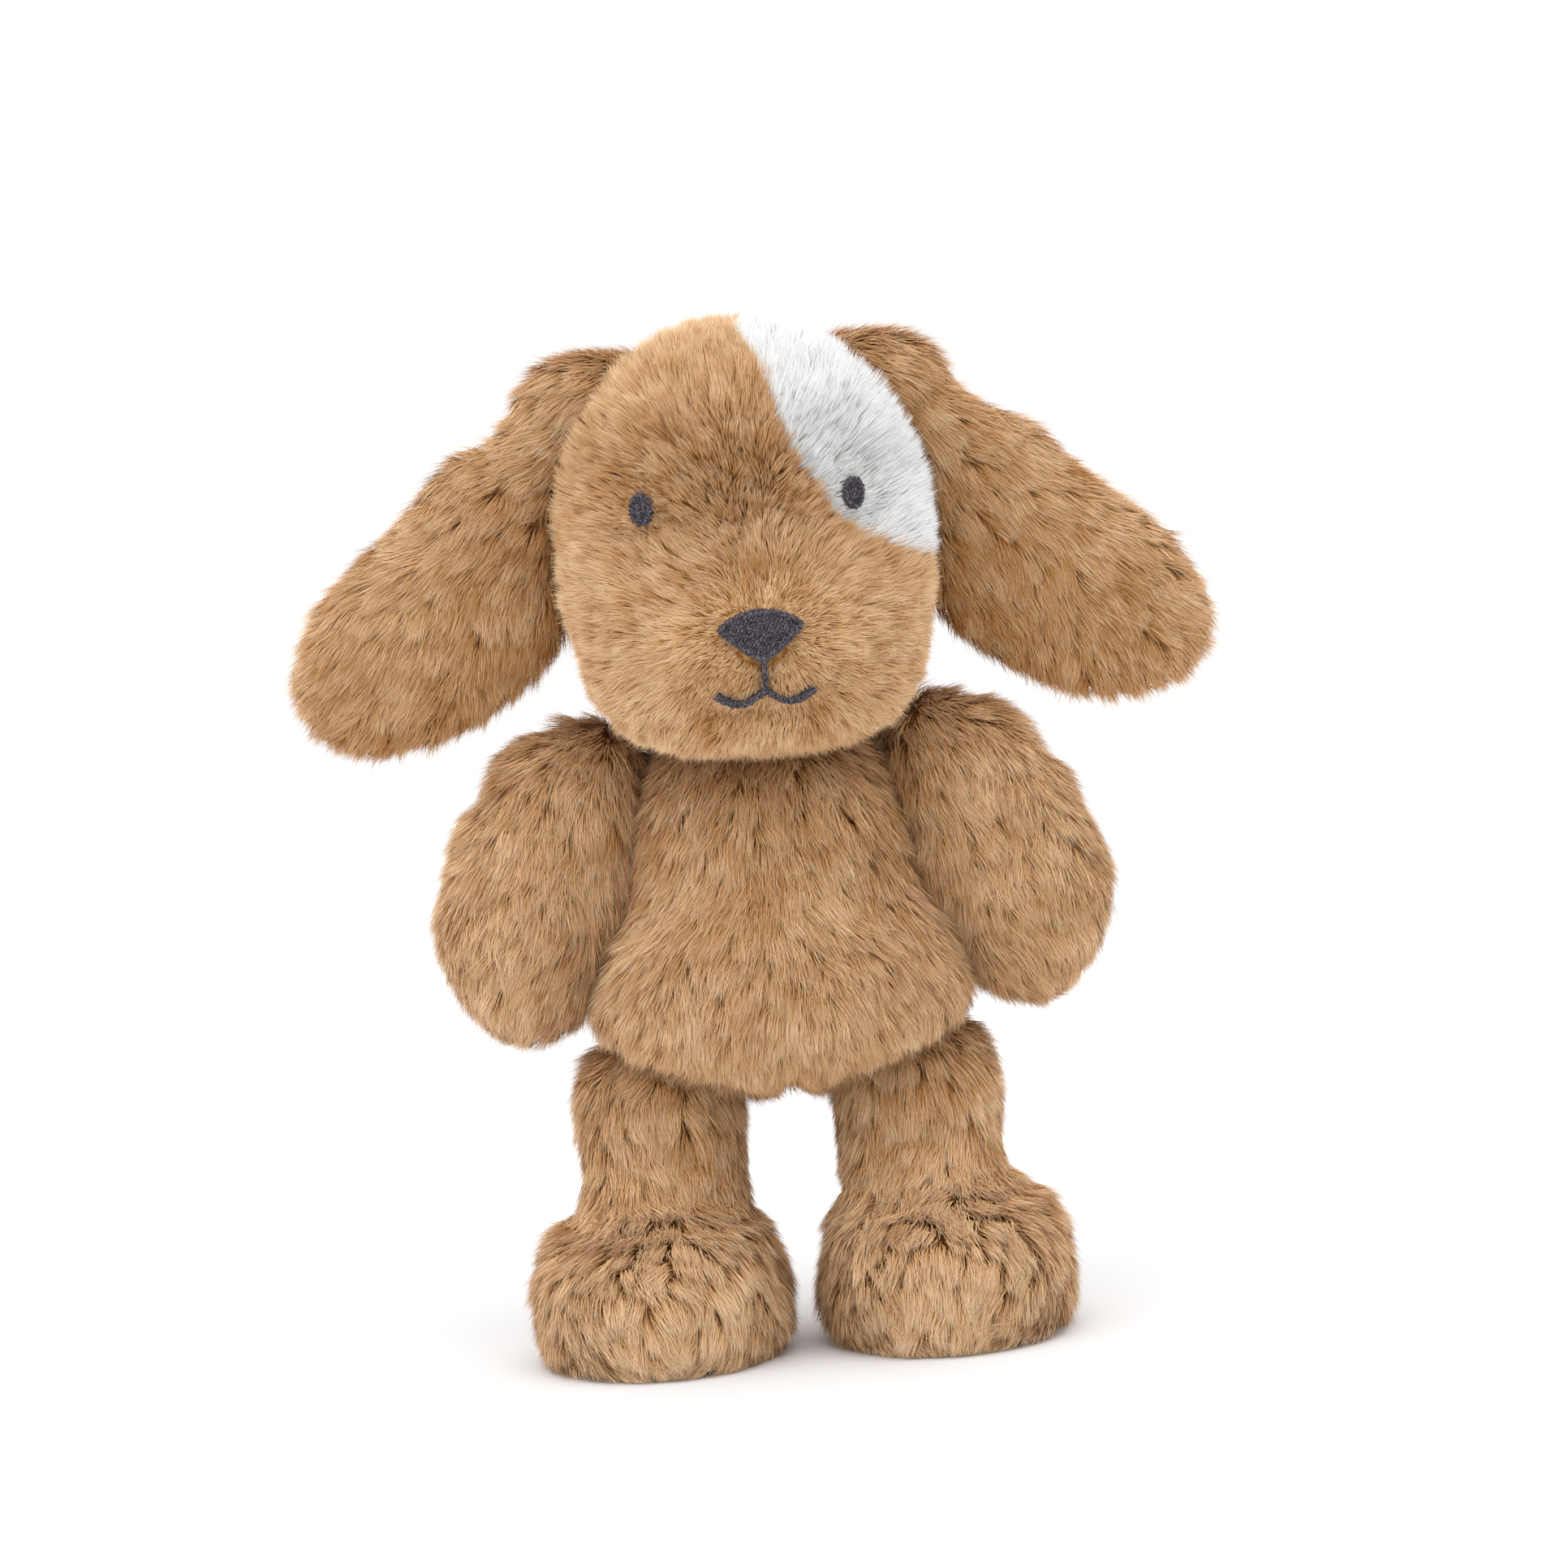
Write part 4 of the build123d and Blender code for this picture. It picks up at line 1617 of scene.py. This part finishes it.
@dataclass
class CareLabel:
    """Blank satin ribbon, folded once and sewn into the back seam."""

    finishes: Finishes
    width: float = 20.0
    length: float = 62.0
    thickness: float = 0.25

    def build(self) -> None:
        """Hang the folded ribbon where the CAD label is."""
        low, high = (np.array(corner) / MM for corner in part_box("care_label"))
        centre, half_fold = (low + high) / 2, 0.8
        leg = self.length / 2
        steps = 16
        path = []
        for step in range(steps):
            share = step / (steps - 1)
            path.append((-half_fold, high[2] + 1 - share * (leg - 1)))
        for step in range(1, 8):
            turn = math.pi * step / 8
            foot = path[steps - 1][1]
            path.append((-half_fold * math.cos(turn), foot - half_fold * math.sin(turn)))
        for step in range(steps):
            share = 1 - step / (steps - 1)
            path.append((half_fold, high[2] + 1 - share * (leg - 1)))
        across = np.linspace(-self.width / 2, self.width / 2, 9)
        points = []
        for out, z in path:
            drop = (high[2] - z) / leg
            for x in across:
                lean = 3.2 * drop + 0.5 * math.sin(x / 5 + z / 7) * drop
                points.append((centre[0] + x, centre[1] + 1.5 + out + lean, z))
        rows, columns = len(path), len(across)
        faces = []
        for row, column in itertools.product(range(rows - 1), range(columns - 1)):
            a = row * columns + column
            faces += [(a, a + 1, a + columns + 1), (a, a + columns + 1, a + columns)]
        ribbon = Surface(np.array(points), np.array(faces)).shell(self.thickness)
        item = new_object("care_label_ribbon", ribbon)
        item.data.materials.append(self.finishes.ribbon)
        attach(item, "torso")
        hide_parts("care_label")
        LOG.info("care label folded")


@dataclass
class Insides:
    """Bags, beads and the neck wad, which stay as the CAD has them."""

    finishes: Finishes
    fill: float = 0.7

    def build(self) -> None:
        """Give the hidden pieces their materials."""
        dress = {
            "_pouch": self.finishes.bag,
            "_pellets": self.finishes.beads,
            "_wad": self.finishes.fibre,
        }
        for name, node in frame["nodes"].items():
            for ending, material in dress.items():
                if name.endswith(ending):
                    node.data.materials.clear()
                    node.data.materials.append(material)
                    LOG.info("%s dressed", name)


# ---------------------------------------------------------------- studio


@dataclass
class Studio:
    """White sweep, soft overhead light and the camera."""

    azimuth: float = -2.5
    elevation: float = 6.5
    distance: float = 2.6
    frame_width: float = 0.509
    roll: float = 4.5
    target: tuple[float, float, float] = (0.0068, 0.0, 0.1808)
    lit: tuple[float, float, float] = (0.0, 0.0, 0.18)  # where the soft boxes face
    floor_reach: float = 6.0  # half the side of the floor
    brightness: float = 1.15  # enough for the floor to come out plain white
    sensor: float = 36.0

    def sweep(self) -> None:
        """Plain white floor."""
        corners = np.array([(-1, -1, 0), (1, -1, 0), (1, 1, 0), (-1, 1, 0)]) * self.floor_reach
        floor = Surface(corners, np.array([(0, 1, 2), (0, 2, 3)]))
        item = new_object("studio_floor", floor, 1.0)
        paper = MatFinish("studio_white", "#F0F0F1", "#F1F1F2", 400.0, 0.9)
        item.data.materials.append(paper.material())

    def light(self, name: str, place: tuple[float, float, float], size: float,
              power: float) -> None:
        """Square soft box that faces the dog.

        Args:
            name: the lamp's name.
            place: where it hangs.
            size: side of the box.
            power: its power in watts.
        """
        lamp = bpy.data.lights.new(name, "AREA")
        lamp.shape, lamp.size, lamp.energy = "SQUARE", size, power
        item = bpy.data.objects.new(name, lamp)
        item.location = place
        facing = Vector(self.lit) - Vector(place)
        item.rotation_euler = facing.to_track_quat("-Z", "Y").to_euler()
        bpy.context.scene.collection.objects.link(item)

    def world(self) -> None:
        """White surroundings of even strength."""
        world = bpy.data.worlds.new("studio")
        world.use_nodes = True
        world.node_tree.nodes.clear()
        back = add(world.node_tree, "ShaderNodeBackground",
                   {"Color": (1, 1, 1, 1), "Strength": self.brightness})
        add(world.node_tree, "ShaderNodeOutputWorld", links={"Surface": back.outputs[0]})
        bpy.context.scene.world = world

    def camera(self) -> None:
        """Camera at the height of a table-top shot, turned a little and tilted."""
        lens = bpy.data.cameras.new("camera")
        lens.sensor_width = self.sensor
        lens.lens = self.sensor * self.distance / self.frame_width
        item = bpy.data.objects.new("camera", lens)
        turn, rise = math.radians(self.azimuth), math.radians(self.elevation)
        level = math.cos(rise)
        back = Vector((math.sin(turn) * level, -math.cos(turn) * level, math.sin(rise)))
        item.location = Vector(self.target) + back * self.distance
        tilt = Matrix.Rotation(math.radians(-self.roll), 3, "Z")
        aim = (-back).to_track_quat("-Z", "Y").to_matrix() @ tilt
        item.rotation_euler = aim.to_euler()
        bpy.context.scene.collection.objects.link(item)
        bpy.context.scene.camera = item

    def build(self) -> None:
        """Set up floor, lights, world and camera."""
        self.sweep()
        self.world()
        self.light("top_box", (0.2, -0.7, 1.9), 1.4, 11.0)
        self.light("side_box", (-1.3, -0.9, 0.9), 1.0, 4.0)
        self.camera()
        bpy.context.scene.view_settings.view_transform = "Standard"


def main() -> None:
    """Build the dog part by part."""
    logging.basicConfig(level=logging.INFO, format="%(name)s: %(message)s")
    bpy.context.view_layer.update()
    finishes = Finishes()
    rng = np.random.default_rng(SEED)
    head = Head(finishes)
    parts: list[StuffedPart] = [Torso(finishes), head, Tail(finishes)]
    for side in Side:
        parts += [Ear(finishes, side=side), Arm(finishes, side=side), Leg(finishes, side=side)]
    for part in parts:
        part.shape()
    for part, other in itertools.permutations(parts, 2):
        part.tuck(other)
    for part in parts:
        part.build(rng)
    Embroidery(head, finishes).build(rng)
    CareLabel(finishes).build()
    Insides(finishes).build()
    Studio().build()


if __name__ == "__main__":
    main()
